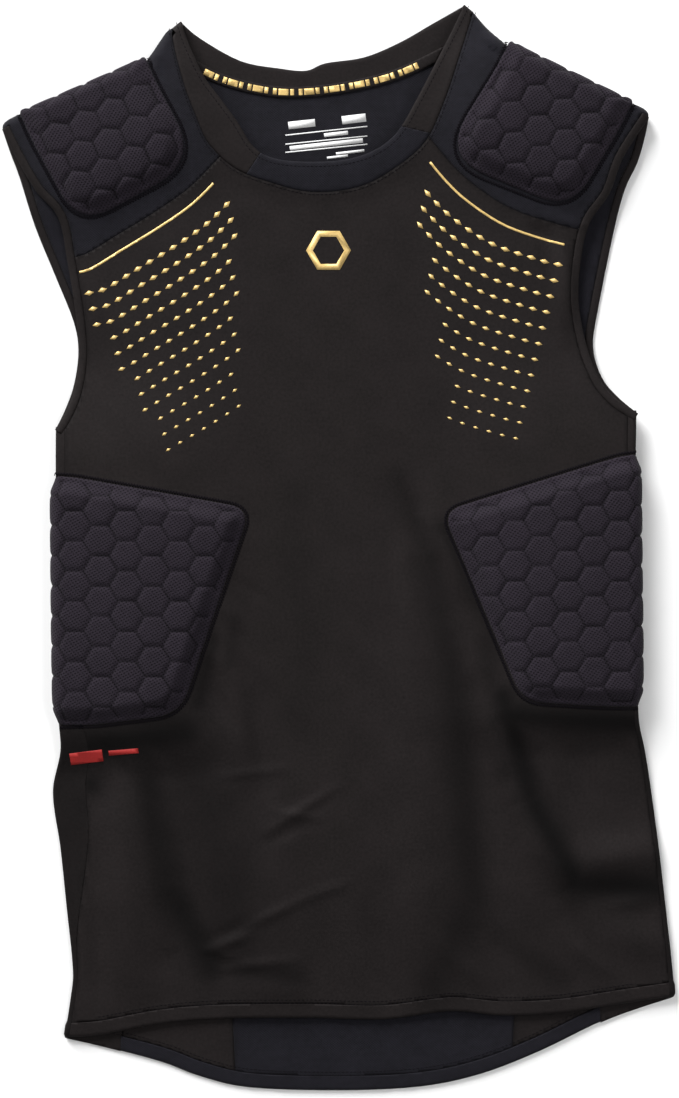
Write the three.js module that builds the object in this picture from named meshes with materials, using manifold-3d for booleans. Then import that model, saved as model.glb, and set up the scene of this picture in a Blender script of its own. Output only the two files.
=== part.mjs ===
// Sleeveless compression shirt with hexagon pads on the ribs and shoulders,
// laid flat with its front up. Millimetres: +X to the right, +Y to the shoulders,
// +Z up from the surface that the back lies on.

import * as THREE from 'three';
import { mergeVertices } from 'three/addons/utils/BufferGeometryUtils.js';
import Module from 'manifold-3d';

const wasm = await Module();
wasm.setup();

// Driving dimensions
const CLOTH = 1.2;              // wall of the satin and mesh
const SEAM_GAP = 0.3;           // between pieces that are sewn together
const HEM_HEIGHT = 9.5;
const HEM_WALL = 2.0;
const BINDING_WIDTH = 5.5;
const BINDING_WALL = 1.7;
const BAND_WALL = 1.6;          // neckband and collar
const TAPE_WALL = 0.8;
const TAPE_WIDTH = 7.5;
const LAYER_GAP = 0.9;          // least space between the front and the back layer
const FRONT_REST = 2.5;         // underside of the front layer where it lies lowest
const NECK_RISE = 2.4;          // how much the front neckline stands off the back
const NECK_REACH = 32;
const LOOSE_RISE = 5.6;         // air under the middle of the front
const PAD_CLEARANCE = 2;        // between the two legs of a pad

const HEX_SIDE = 11.6;          // side of one quilted hexagon
const HEX_CROWN = 1.9;          // height of a crown over the channels
const HEX_FLAT = 0.8;           // part of a hexagon inside its rounded rim
const HEX_RIM_DROP = 0.5;       // how far that rim lies below the middle
const PAD_BORDER = 2.4;         // thickness of the stitched border
const PAD_BORDER_WIDTH = 5.0;
const PAD_SLOPE = 3.6;          // width of the slope from the border to the foam
const FOLD_REACH = 18;          // where a pad is cut finely to go round its fold
const BACK_CORNER = 12;         // radius of the corners of a pad's back leg
const SIDE_PAD = { wall: 8.2, proud: 4.0, backReach: 52 };
const SHOULDER_PAD = { wall: 7.0, proud: 0, backReach: 55 };

// How far the cloth takes to come down from a pad: flat, then the slope, and above and below it
const SIDE_SLOPE = { frontFlat: 36, frontFade: 118, backFade: 52, below: [36, 3], above: [4, 84] };
const SHOULDER_SLOPE = { frontFlat: 40, frontFade: 70, backFade: 44, before: [32, 3], after: [3, 34] };
const FLAT_PAST_PAD = 2;        // cloth of the back that stays level beside a pad

// Where the front lies loose on the back: levels, and distances from its middle
const LOOSE = { low: -330, high: -200, middle: 15, inner: 90, outer: 205 };
const NECK_FREE = { low: 315, high: 352 };       // levels where the neckline comes down to the shoulders
const NECK_EDGE_WIDTH = 4;
const PAD_STIFFNESS = 0.8;      // share of a fold's height that a pad presses out
const FOLD_ENDS = 0.35;         // height of a fold at its ends, as a share of its middle

// Fold lines down the two sides, one row for each level
const SIDE_FOLDS = [
  { y: 110, left: -189.5, right: 199.5 },
  { y: 58, left: -189.5, right: 198.5 },
  { y: -60, left: -188.5, right: 199.5 },
  { y: -115, left: -187.5, right: 200.5 },
  { y: -136, left: -186.5, right: 205.0 },
  { y: -164, left: -192.0, right: 209.5 },
  { y: -202, left: -187.0, right: 214.5 },
  { y: -240, left: -183.0, right: 219.0 },
  { y: -286, left: -178.5, right: 224.0 },
  { y: -302, left: -180.0, right: 225.0 },
  { y: -331, left: -184.5, right: 226.0 },
];

// Side pads: corners of the front leg as distance in from the fold, level and radius
const SIDE_PADS = {
  left: {
    top: 47, bottom: -119.5,
    corners: [
      { u: 14, y: 47, r: 8 }, { u: 134.5, y: 25.5, r: 15 },
      { u: 86, y: -112, r: 17 }, { u: 26, y: -119.5, r: 10 },
    ],
  },
  right: {
    top: 61.5, bottom: -107,
    corners: [
      { u: 12, y: 61.5, r: 8 }, { u: 134, y: 23.5, r: 14 },
      { u: 81.5, y: -103.5, r: 14 }, { u: 26, y: -107, r: 10 },
    ],
  },
};

// Shoulder pads: outer end of the fold, inner end, and corners along and away from it
const SHOULDER_PADS = {
  left: {
    outer: [-214, 291], inner: [-133, 326], length: [0, 92],
    corners: [
      { u: 20, y: 0, r: 6 }, { u: 86, y: 6, r: 24 },
      { u: 80, y: 97, r: 32 }, { u: 20, y: 92, r: 6 },
    ],
  },
  right: {
    outer: [197, 298], inner: [118, 336], length: [0, 92],
    corners: [
      { u: 20, y: 0, r: 6 }, { u: 85, y: 6, r: 24 },
      { u: 92, y: 100, r: 34 }, { u: 20, y: 92, r: 6 },
    ],
  },
};

// Sections across the neckband, from the left shoulder round the front to the right
const NECKBAND = [
  { inX: -106, inY: 352, outX: -112, outY: 347 },
  { inX: -100, inY: 335, outX: -110, outY: 333 },
  { inX: -90, inY: 314, outX: -103, outY: 307 },
  { inX: -79, inY: 299, outX: -95, outY: 286 },
  { inX: -68, inY: 284, outX: -87, outY: 269 },
  { inX: -57, inY: 267, outX: -70, outY: 253 },
  { inX: -44, inY: 259.5, outX: -48, outY: 244 },
  { inX: -22, inY: 257, outX: -19, outY: 237 },
  { inX: 4, inY: 258.5, outX: 12, outY: 240 },
  { inX: 24, inY: 265, outX: 36, outY: 252 },
  { inX: 39, inY: 277, outX: 58, outY: 271 },
  { inX: 52, inY: 299, outX: 71, outY: 299 },
  { inX: 67, inY: 328, outX: 80, outY: 326 },
  { inX: 78, inY: 350, outX: 86, outY: 345 },
  { inX: 84, inY: 363, outX: 90, outY: 358 },
];
const BAND_SPLITS = [5.4, 10.2];     // rows where the front of the band starts and ends

// Edges and seams, each a smooth curve through its points
const EDGES = {
  armholeFrontLeft: [
    [-190, 78], [-184, 88], [-178, 103], [-174.5, 126], [-176, 152],
    [-182, 190], [-188, 220], [-203, 238], [-216, 260], [-225.5, 279],
  ],
  armholeBackLeft: [
    [-190, 78], [-183, 93], [-177.5, 110], [-175, 132], [-178.5, 152],
    [-191, 183], [-204, 215], [-214, 247], [-220, 263], [-225.5, 279],
  ],
  armholeFrontRight: [
    [200, 89], [186, 98], [175, 111], [166, 134], [160.5, 165],
    [162.5, 195], [168, 217], [181, 236], [190, 260], [207.5, 287],
  ],
  armholeBackRight: [
    [200, 89], [186, 101], [176, 114], [170.5, 134], [174, 160],
    [185, 214], [192, 240], [200, 257], [205, 274], [207.5, 287],
  ],
  shoulderLeft: [
    [-225.5, 279], [-221, 286], [-187, 300], [-153, 315], [-133, 322],
    [-126, 329], [-116, 344], [-112, 347],
  ],
  shoulderRight: [
    [207.5, 287], [203.5, 293.5], [175, 304.5], [148, 317], [120, 330],
    [109, 338], [99, 347], [90, 358],
  ],
  yokeSeamLeft: [[-184, 193.5], [-170, 196], [-148, 209], [-123, 224], [-100, 240], [-80, 260]],
  yokeSeamRight: [[163, 211.5], [145, 216], [115, 226], [90, 242], [74, 257], [60, 274]],
  hemFront: [
    [-187, -329], [-160, -327.5], [-120, -320], [-76, -316.5], [-20, -316], [30, -317],
    [74, -311.5], [110, -314.5], [150, -312.5], [190, -306.5], [228, -301],
  ],
  hemBack: [
    [-187, -329], [-160, -335], [-120, -345.5], [-93, -355.5], [-60, -363], [0, -365],
    [54, -362.5], [95, -354], [135, -338.5], [180, -317], [228, -301],
  ],
  collarTop: [
    [-106, 352], [-93, 341], [-66, 326], [-40, 321], [-22, 319.5],
    [-9, 324.5], [17, 328.5], [41, 338.5], [62, 350.5], [84, 363],
  ],
  tapeTop: [[-97, 327], [-80, 318], [-55, 311], [-30, 308.5], [4, 312], [38, 320.5], [72, 336.5]],
  collarSeam: [[-110, 334], [-90, 317.5], [-58, 307], [-30, 304.5], [4, 307.5], [38, 316], [80, 341]],
  backSeamLeft: [[-69, -364], [-73, -300], [-88, -150], [-100, -20], [-130, 80], [-175.5, 131]],
  backSeamRight: [[116, -348], [118, -300], [122, -150], [126, -20], [138, 70], [170.5, 133]],
};

// Front strip of the side panels, from the fold to the seam
const SIDE_STRIPS = [
  { y: -118, left: 15.5, right: 3.2 },
  { y: -150, left: 21, right: 3.2 },
  { y: -183, left: 22, right: 3.2 },
  { y: -225, left: 13.5, right: 3.2 },
  { y: -262, left: 5, right: 3.2 },
  { y: -290, left: 3.2, right: 3.2 },
];
const SIDE_PANEL_BACK = { left: 38, right: 50 };
const UNDERARM_LEG = 6;

// Soft folds of the front: a line, half a width, and a height up or down
const FOLDS = [
  { x1: 46, y1: -10, x2: 62, y2: -292, width: 20, height: 3.4 },
  { x1: 84, y1: -2, x2: 108, y2: -292, width: 17, height: -4.4 },
  { x1: 60, y1: 18, x2: 94, y2: -56, width: 8, height: 3.0 },
  { x1: 38, y1: 60, x2: 60, y2: -40, width: 13, height: -2.2 },
  { x1: 96, y1: -110, x2: 120, y2: -172, width: 11, height: 4.4 },
  { x1: 120, y1: -172, x2: 150, y2: -232, width: 12, height: 4.6 },
  { x1: 112, y1: -122, x2: 138, y2: -180, width: 9, height: -2.8 },
  { x1: 156, y1: -211, x2: 222, y2: -203, width: 14, height: 5.0 },
  { x1: 140, y1: -140, x2: 176, y2: -196, width: 12, height: -2.4 },
  { x1: 172, y1: -256, x2: 222, y2: -270, width: 13, height: 2.2 },
  { x1: -144, y1: -150, x2: -138, y2: -296, width: 15, height: 4.6 },
  { x1: -112, y1: -160, x2: -94, y2: -294, width: 20, height: -4.2 },
  { x1: -112, y1: -276, x2: -62, y2: -284, width: 10, height: -1.6 },
  { x1: -34, y1: -165, x2: -46, y2: -304, width: 17, height: 2.4 },
  { x1: -90, y1: -60, x2: -80, y2: -150, width: 9, height: -3.2 },
  { x1: -76, y1: -46, x2: -62, y2: -156, width: 9, height: 3.2 },
  { x1: 135, y1: 208, x2: 166, y2: 104, width: 9, height: -2.4 },
  { x1: 148, y1: 206, x2: 152, y2: 140, width: 7, height: 3.4 },
  { x1: -172, y1: 118, x2: -150, y2: 62, width: 10, height: -1.3 },
];

const FINISH = {
  satin: { color: 0x262322, roughness: 0.5 },
  mesh: { color: 0x212329, roughness: 0.85 },
  pad: { color: 0x2a262e, roughness: 0.9 },
  tape: { color: 0x24211f, roughness: 0.6 },
};

const CORNER_STEPS = 4;

// Plan curves and outlines
const vectors = (points) => points.map(([x, y]) => new THREE.Vector2(x, y));

function curve(points, steps = Math.round(points.length * 1.2)) {
  return new THREE.SplineCurve(vectors(points)).getPoints(steps);
}

function edge(name, steps) {
  return curve(EDGES[name], steps);
}

function reversed(points) {
  return [...points].reverse();
}

// An outline through rounded corners, each given with its radius
function roundedOutline(corners) {
  const points = [];
  corners.forEach((corner, i) => {
    const here = new THREE.Vector2(corner.x, corner.y);
    if (!corner.r) {
      points.push(here);
      return;
    }
    const before = corners[(i + corners.length - 1) % corners.length];
    const after = corners[(i + 1) % corners.length];
    const start = new THREE.Vector2(before.x, before.y).sub(here).setLength(corner.r).add(here);
    const end = new THREE.Vector2(after.x, after.y).sub(here).setLength(corner.r).add(here);
    points.push(...new THREE.QuadraticBezierCurve(start, here, end).getPoints(CORNER_STEPS));
  });
  return points;
}

// An outline without points that nearly fall on each other
const LEAST_EDGE = 0.4;

function spaced(outline) {
  return outline.filter((point, i) => point.distanceTo(outline[(i + 1) % outline.length]) > LEAST_EDGE);
}

// A closed outline moved outwards by a distance, or inwards by a negative one
function grown(loop, distance) {
  const outline = spaced(loop);
  const turn = Math.sign(THREE.ShapeUtils.area(outline));
  const count = outline.length;
  return outline.map((point, i) => {
    const before = outline[(i + count - 1) % count];
    const after = outline[(i + 1) % count];
    const one = point.clone().sub(before).normalize();
    const two = after.clone().sub(point).normalize();
    const normal = new THREE.Vector2(one.y + two.y, -one.x - two.x).normalize();
    const miter = Math.max(0.5, normal.dot(new THREE.Vector2(one.y, -one.x)));
    return point.clone().addScaledVector(normal, (turn * distance) / miter);
  });
}

// The strip between an open curve and the same curve moved to its left
function strip(points, width) {
  const moved = points.map((point, i) => {
    const before = points[Math.max(0, i - 1)];
    const after = points[Math.min(points.length - 1, i + 1)];
    const along = after.clone().sub(before).normalize();
    return new THREE.Vector2(point.x - along.y * width, point.y + along.x * width);
  });
  return [...points, ...reversed(moved)];
}

function distanceToLine(x, y, points) {
  let best = Infinity;
  for (let i = 1; i < points.length; i += 1) {
    const [a, b] = [points[i - 1], points[i]];
    const [dx, dy] = [b.x - a.x, b.y - a.y];
    const t = THREE.MathUtils.clamp(((x - a.x) * dx + (y - a.y) * dy) / (dx * dx + dy * dy), 0, 1);
    best = Math.min(best, Math.hypot(x - a.x - t * dx, y - a.y - t * dy));
  }
  return best;
}

// Heights of the two layers
const { smoothstep } = THREE.MathUtils;
const INWARD = { left: 1, right: -1 };

function foldX(side, y) {
  const rows = SIDE_FOLDS;
  let i = rows.findIndex((row) => y > row.y);
  i = i < 0 ? rows.length - 1 : Math.max(1, i);
  const t = THREE.MathUtils.clamp((rows[i - 1].y - y) / (rows[i - 1].y - rows[i].y), 0, 1);
  const slope = (k) => {
    const [a, b] = [rows[Math.max(0, k - 1)], rows[Math.min(rows.length - 1, k + 1)]];
    return (b[side] - a[side]) / (a.y - b.y);
  };
  const span = rows[i - 1].y - rows[i].y;
  const [p, q] = [rows[i - 1][side], rows[i][side]];
  const [m, n] = [slope(i - 1) * span, slope(i) * span];
  return (2 * t ** 3 - 3 * t ** 2 + 1) * p + (t ** 3 - 2 * t ** 2 + t) * m
    + (3 * t ** 2 - 2 * t ** 3) * q + (t ** 3 - t ** 2) * n;
}

// How far a side pad lifts the cloth round it, from 0 to 1
function sideLift(side, x, y, reach, fade) {
  const pad = SIDE_PADS[side];
  const inward = (x - foldX(side, y)) * INWARD[side];
  const across = 1 - smoothstep(inward, reach, reach + fade);
  const { below: [low, foot], above: [head, high] } = SIDE_SLOPE;
  const along = smoothstep(y, pad.bottom - low, pad.bottom - foot)
    * (1 - smoothstep(y, pad.top + head, pad.top + high));
  return across * along;
}

// The frame of a shoulder pad: its fold runs along, the front lies away from it
function shoulderFrame(side) {
  const pad = SHOULDER_PADS[side];
  const origin = new THREE.Vector2(...pad.outer);
  const along = new THREE.Vector2(...pad.inner).sub(origin).normalize();
  const away = new THREE.Vector2(along.y, -along.x).multiplyScalar(INWARD[side]);
  return { origin, along, away };
}

const SHOULDER_FRAMES = { left: shoulderFrame('left'), right: shoulderFrame('right') };

function shoulderLift(side, x, y, reach, fade) {
  const { origin, along, away } = SHOULDER_FRAMES[side];
  const place = new THREE.Vector2(x, y).sub(origin);
  const [a, b] = [place.dot(along), place.dot(away)];
  const [start, end] = SHOULDER_PADS[side].length;
  const { before: [far, near], after: [close, wide] } = SHOULDER_SLOPE;
  const lengthwise = smoothstep(a, start - far, start - near) * (1 - smoothstep(a, end + close, end + wide));
  return lengthwise * (1 - smoothstep(b, reach, reach + fade));
}

function lifts(x, y, side, shoulder) {
  return {
    side: sideLift('left', x, y, ...side) + sideLift('right', x, y, ...side),
    shoulder: shoulderLift('left', x, y, ...shoulder) + shoulderLift('right', x, y, ...shoulder),
  };
}

// Upper face of the back layer: on the surface, and up on the back legs of the pads
function backTop(x, y) {
  const lift = lifts(
    x, y, [SIDE_PAD.backReach + FLAT_PAST_PAD, SIDE_SLOPE.backFade],
    [SHOULDER_PAD.backReach + FLAT_PAST_PAD, SHOULDER_SLOPE.backFade],
  );
  return CLOTH + (SIDE_PAD.wall - CLOTH) * lift.side + (SHOULDER_PAD.wall - CLOTH) * lift.shoulder;
}

const neckEdge = curve(NECKBAND.map((row) => [row.inX, row.inY]), NECKBAND.length * 2);

function foldHeight(x, y) {
  let height = 0;
  for (const fold of FOLDS) {
    const [dx, dy] = [fold.x2 - fold.x1, fold.y2 - fold.y1];
    const t = THREE.MathUtils.clamp(((x - fold.x1) * dx + (y - fold.y1) * dy) / (dx * dx + dy * dy), 0, 1);
    const distance = Math.hypot(x - fold.x1 - t * dx, y - fold.y1 - t * dy) / fold.width;
    const fullness = FOLD_ENDS + (1 - FOLD_ENDS) * Math.sin(Math.PI * t);
    height += fold.height * Math.exp(-distance * distance) * fullness;
  }
  return height;
}

// Under face of the front layer
function frontUnder(x, y) {
  const lift = lifts(
    x, y, [SIDE_SLOPE.frontFlat, SIDE_SLOPE.frontFade], [SHOULDER_SLOPE.frontFlat, SHOULDER_SLOPE.frontFade],
  );
  const loose = smoothstep(y, LOOSE.low, LOOSE.high)
    * (1 - smoothstep(Math.abs(x - LOOSE.middle), LOOSE.inner, LOOSE.outer));
  const neck = 1 - smoothstep(distanceToLine(x, y, neckEdge), NECK_EDGE_WIDTH, NECK_REACH);
  const neckFree = 1 - smoothstep(y, NECK_FREE.low, NECK_FREE.high);
  const height = FRONT_REST + LOOSE_RISE * loose + foldHeight(x, y) * (1 - lift.side * PAD_STIFFNESS)
    + NECK_RISE * neck * neckFree
    + (SIDE_PAD.wall + PAD_CLEARANCE - FRONT_REST) * lift.side
    + (SHOULDER_PAD.wall + PAD_CLEARANCE - FRONT_REST) * lift.shoulder;
  return Math.max(height, backTop(x, y) + LAYER_GAP);
}

// Solids
function solidFrom(geometry, keepFaces) {
  const bare = geometry.clone();
  for (const name of Object.keys(bare.attributes)) {
    if (name !== 'position') bare.deleteAttribute(name);
  }
  const merged = mergeVertices(bare, 1e-4);
  const triVerts = new Uint32Array(merged.index.array);
  const mesh = { numProp: 3, vertProperties: new Float32Array(merged.attributes.position.array), triVerts };
  if (keepFaces) mesh.faceID = Uint32Array.from({ length: triVerts.length / 3 }, (_, i) => i);
  return new wasm.Manifold(new wasm.Mesh(mesh));
}

function geometryFrom(positions, index) {
  const geometry = new THREE.BufferGeometry();
  geometry.setAttribute('position', new THREE.Float32BufferAttribute(positions, 3));
  geometry.setIndex(index);
  return geometry;
}

function steps(from, to, size) {
  const count = Math.max(1, Math.ceil((to - from) / size));
  return Array.from({ length: count + 1 }, (_, i) => from + ((to - from) * i) / count);
}

// Grid lines at whole multiples of a size, so that both layers share them
function sharedSteps(from, to, size) {
  const first = Math.floor(from / size);
  const last = Math.ceil(to / size);
  return Array.from({ length: last - first + 1 }, (_, i) => (first + i) * size);
}

// A closed wall on a grid of X and Y lines, between two heights
function gridWall(xs, ys, low, high) {
  const positions = [];
  for (const height of [low, high]) {
    for (const y of ys) for (const x of xs) positions.push(x, y, height(x, y));
  }
  const [nx, ny] = [xs.length, ys.length];
  const at = (layer, i, j) => layer * nx * ny + j * nx + i;
  const index = [];
  const quad = (a, b, c, d) => index.push(a, b, c, a, c, d);
  for (let j = 0; j + 1 < ny; j += 1) {
    for (let i = 0; i + 1 < nx; i += 1) {
      quad(at(1, i, j), at(1, i + 1, j), at(1, i + 1, j + 1), at(1, i, j + 1));
      quad(at(0, i, j), at(0, i, j + 1), at(0, i + 1, j + 1), at(0, i + 1, j));
    }
  }
  for (let i = 0; i + 1 < nx; i += 1) {
    quad(at(0, i, 0), at(0, i + 1, 0), at(1, i + 1, 0), at(1, i, 0));
    quad(at(0, i + 1, ny - 1), at(0, i, ny - 1), at(1, i, ny - 1), at(1, i + 1, ny - 1));
  }
  for (let j = 0; j + 1 < ny; j += 1) {
    quad(at(0, 0, j + 1), at(0, 0, j), at(1, 0, j), at(1, 0, j + 1));
    quad(at(0, nx - 1, j), at(0, nx - 1, j + 1), at(1, nx - 1, j + 1), at(1, nx - 1, j));
  }
  return geometryFrom(positions, index);
}

// Spacing of the faces, and how far the cutting prisms reach
const GRID = { x: 18, y: 27 };
const LEVEL_STEP = 15;
const PAD_STEP = 30;
const PRISM_LOW = -20;
const PRISM_DEPTH = 60;
const MARGIN = 2;

function prism(outline) {
  const geometry = new THREE.ExtrudeGeometry(
    new THREE.Shape(outline), { depth: PRISM_DEPTH, bevelEnabled: false },
  );
  geometry.translate(0, 0, PRISM_LOW);
  return solidFrom(geometry);
}

function bounds(outline) {
  const box = new THREE.Box2().setFromPoints(outline);
  return [box.min.x - MARGIN, box.max.x + MARGIN, box.min.y - MARGIN, box.max.y + MARGIN];
}

// A flat-lying piece: a wall over a layer's height, cut to its outline
function laidPiece(outline, under, wall, cutters = []) {
  const [x0, x1, y0, y1] = bounds(outline);
  const geometry = gridWall(
    sharedSteps(x0, x1, GRID.x), sharedSteps(y0, y1, GRID.y), under, (x, y) => under(x, y) + wall,
  );
  let solid = solidFrom(geometry).intersect(prism(grown(outline, -SEAM_GAP / 2)));
  for (const cutter of cutters) solid = solid.subtract(prism(grown(cutter, SEAM_GAP)));
  return solid;
}

// A piece cut flat, with s across the fold, then bent round it
function bentPiece(flat, bend, mirrored) {
  const mesh = flat.getMesh();
  const positions = [];
  for (let i = 0; i < mesh.numVert; i += 1) {
    positions.push(...bend(...mesh.vertProperties.slice(i * mesh.numProp, i * mesh.numProp + 3)));
  }
  const index = mirrored ? [...mesh.triVerts].reverse() : [...mesh.triVerts];
  return solidFrom(geometryFrom(positions, index));
}

// Distance along the surface from a fold's outermost line, for a distance in plan
function surfaceFromPlan(u, radius) {
  return u < radius ? radius * Math.acos(1 - u / radius) : u - radius + (radius * Math.PI) / 2;
}

// Heights in a fold's own section, from the two layers where it meets them
function foldSection(x, y, wall) {
  const [top, low] = [frontUnder(x, y), backTop(x, y)];
  const inner = (top - low) / 2;
  return { inner, middle: (top + low) / 2, outer: inner + wall };
}

function bendSection(s, h, section) {
  const quarter = (section.outer * Math.PI) / 2;
  if (Math.abs(s) > quarter) return { inward: section.outer + Math.abs(s) - quarter, leg: Math.sign(s) };
  const angle = s / section.outer;
  return {
    inward: section.outer - (section.inner + h) * Math.cos(angle),
    z: section.middle + (section.inner + h) * Math.sin(angle),
  };
}

function layerHeight(x, y, leg, h) {
  return leg > 0 ? frontUnder(x, y) + h : Math.max(0, backTop(x, y) - h);
}

function sideSection(side, y, wall, proud) {
  return foldSection(foldX(side, y) + INWARD[side] * (wall + 1 - proud), y, wall);
}

function sideBend(side, wall, proud) {
  return (s, y, h) => {
    const start = foldX(side, y) - proud * INWARD[side];
    const bent = bendSection(s, h, sideSection(side, y, wall, proud));
    const x = start + INWARD[side] * bent.inward;
    return [x, y, bent.leg ? layerHeight(x, y, bent.leg, h) : Math.max(0, bent.z)];
  };
}

function shoulderBend(side, wall) {
  const { origin, along, away } = SHOULDER_FRAMES[side];
  const plan = (a, b) => origin.clone().addScaledVector(along, a).addScaledVector(away, b);
  return (s, a, h) => {
    const probe = plan(a, wall + 1);
    const bent = bendSection(s, h, foldSection(probe.x, probe.y, wall));
    const { x, y } = plan(a, bent.inward);
    return [x, y, bent.leg ? layerHeight(x, y, bent.leg, h) : Math.max(0, bent.z)];
  };
}

// The quilted foam, flat: raised hexagons on the front, plain on the leg that rests
function hexField(box, angle, wall, plainBefore) {
  const positions = [];
  const index = [];
  const corners = new Map();
  const channel = wall - HEX_CROWN;
  const past = HEX_SIDE * 1.2;
  const vertex = (s, y, h) => positions.push(s, y, h) / 3 - 1;
  const corner = (s, y, plain) => {
    const key = `${s.toFixed(2)},${y.toFixed(2)}`;
    if (!corners.has(key)) {
      corners.set(key, { top: vertex(s, y, channel), low: vertex(s, y, PAD_BORDER / 2) });
    }
    if (plain) positions[corners.get(key).top * 3 + 2] = wall;
    return corners.get(key);
  };
  const edges = new Map();
  const [colStep, rowStep] = [HEX_SIDE * 1.5, HEX_SIDE * Math.sqrt(3)];
  const [cos, sin] = [Math.cos(angle), Math.sin(angle)];
  const [cx, cy] = [(box[0] + box[1]) / 2, (box[2] + box[3]) / 2];
  const reach = Math.hypot(box[1] - box[0], box[3] - box[2]) / 2 + HEX_SIDE * 2;
  const columns = Math.ceil(reach / colStep);
  const rows = Math.ceil(reach / rowStep);
  for (let i = -columns; i <= columns; i += 1) {
    for (let j = -rows; j <= rows; j += 1) {
      const [p, q] = [i * colStep, (j + (i % 2 ? 0.5 : 0)) * rowStep];
      const [s, y] = [cx + p * cos - q * sin, cy + p * sin + q * cos];
      if (s < box[0] - past || s > box[1] + past) continue;
      if (y < box[2] - past || y > box[3] + past) continue;
      const plain = s < plainBefore;
      const ring = Array.from({ length: 6 }, (_, k) => {
        const turn = angle + (k * Math.PI) / 3;
        return [Math.cos(turn) * HEX_SIDE, Math.sin(turn) * HEX_SIDE];
      });
      const rim = ring.map(([a, b]) => corner(s + a, y + b, plain));
      const centre = vertex(s, y, wall);
      const lowCentre = vertex(s, y, PAD_BORDER / 2);
      const flat = plain ? null
        : ring.map(([a, b]) => vertex(s + a * HEX_FLAT, y + b * HEX_FLAT, wall - HEX_RIM_DROP));
      for (let k = 0; k < 6; k += 1) {
        const n = (k + 1) % 6;
        if (plain) index.push(centre, rim[k].top, rim[n].top);
        else {
          index.push(centre, flat[k], flat[n]);
          index.push(flat[k], rim[k].top, rim[n].top, flat[k], rim[n].top, flat[n]);
        }
        index.push(lowCentre, rim[n].low, rim[k].low);
        const back = `${rim[n].top},${rim[k].top}`;
        if (edges.has(back)) edges.delete(back);
        else edges.set(`${rim[k].top},${rim[n].top}`, [rim[k], rim[n]]);
      }
    }
  }
  for (const [a, b] of edges.values()) index.push(a.top, a.low, b.low, a.top, b.low, b.top);
  return geometryFrom(positions, index);
}

// A pad: stitched border all round, foam inside it with sloped sides
function paddedPiece(outline, wall, hexAngle, plainBefore) {
  const [s0, s1, y0, y1] = bounds(outline);
  const sLines = [
    ...steps(s0, -FOLD_REACH, PAD_STEP),
    ...steps(-FOLD_REACH, FOLD_REACH, FOLD_REACH / 3).slice(1),
    ...steps(FOLD_REACH, s1, PAD_STEP).slice(1),
  ];
  const border = solidFrom(gridWall(sLines, steps(y0, y1, PAD_STEP), () => 0, () => PAD_BORDER), true)
    .intersect(prism(grown(outline, -SEAM_GAP / 2)));
  const crown = grown(outline, -PAD_BORDER_WIDTH - PAD_SLOPE);
  const cutter = new THREE.ExtrudeGeometry(new THREE.Shape(crown), {
    depth: PRISM_DEPTH, bevelThickness: wall - PAD_BORDER, bevelSize: PAD_SLOPE, bevelSegments: 1,
  });
  cutter.translate(0, 0, PAD_BORDER - PRISM_DEPTH);
  const foam = solidFrom(hexField([s0, s1, y0, y1], hexAngle, wall, plainBefore), true)
    .intersect(solidFrom(cutter));
  return border.add(foam);
}

// The plan outline of a pad, with u negative on the back, and its edges in short steps
function padOutline(corners, start, end, backReach) {
  const loop = roundedOutline([
    { u: 0, y: start }, ...corners, { u: 0, y: end },
    { u: -backReach, y: end, r: BACK_CORNER }, { u: -backReach, y: start, r: BACK_CORNER },
  ].map(({ u, y, r }) => ({ x: u, y, r })));
  return loop.flatMap((point, i) => {
    const next = loop[(i + 1) % loop.length];
    const fine = FOLD_REACH / 3;
    const nearFold = Math.min(Math.abs(point.x), Math.abs(next.x)) < fine;
    const parts = Math.max(1, Math.ceil(point.distanceTo(next) / (nearFold ? fine : PAD_STEP)));
    return Array.from({ length: parts }, (_, k) => point.clone().lerp(next, k / parts));
  });
}

const OUTSIDE = -16;            // past a fold, where a cutter ends

// The part of a pad's outline on one layer, as a cutter in plan
function padCutter(corners, start, end, plan) {
  const loop = roundedOutline([
    { x: OUTSIDE, y: start }, ...corners.map(({ u, y, r }) => ({ x: u, y, r })), { x: OUTSIDE, y: end },
  ]);
  return loop.map((point) => plan(point.x, point.y));
}

function pad(fold) {
  const radius = fold.wall + 1;
  const outline = padOutline(fold.corners, fold.start, fold.end, fold.backReach)
    .map(({ x, y }) => new THREE.Vector2(Math.sign(x) * surfaceFromPlan(Math.abs(x), radius), y));
  const flat = paddedPiece(outline, fold.wall, fold.hexAngle, -radius);
  const back = [fold.start, fold.end].map((y) => ({ u: fold.backReach, y, r: BACK_CORNER }));
  return {
    solid: bentPiece(flat, fold.bend, fold.mirrored),
    frontCutter: padCutter(fold.corners, fold.start, fold.end, fold.plan),
    backCutter: padCutter(back, fold.start, fold.end, fold.plan),
  };
}

function sidePad(side) {
  const { top, bottom, corners } = SIDE_PADS[side];
  const { wall, proud, backReach } = SIDE_PAD;
  return pad({
    corners, start: top, end: bottom, wall, backReach, hexAngle: 0, mirrored: side === 'right',
    bend: sideBend(side, wall, proud),
    plan: (u, y) => new THREE.Vector2(foldX(side, y) + INWARD[side] * (u - proud), y),
  });
}

function shoulderPad(side) {
  const { corners, length } = SHOULDER_PADS[side];
  const { wall, backReach } = SHOULDER_PAD;
  const { origin, along, away } = SHOULDER_FRAMES[side];
  return pad({
    corners, start: length[0], end: length[1], wall, backReach, hexAngle: 0, mirrored: side === 'right',
    bend: shoulderBend(side, wall),
    plan: (u, y) => origin.clone().addScaledVector(along, y).addScaledVector(away, u),
  });
}

// Side panels: thin cloth round the fold, above and below the pads, cut finely at the fold
const STRIP_STEPS = { reach: 6, fine: 3, front: 12, back: 24 };

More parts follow.
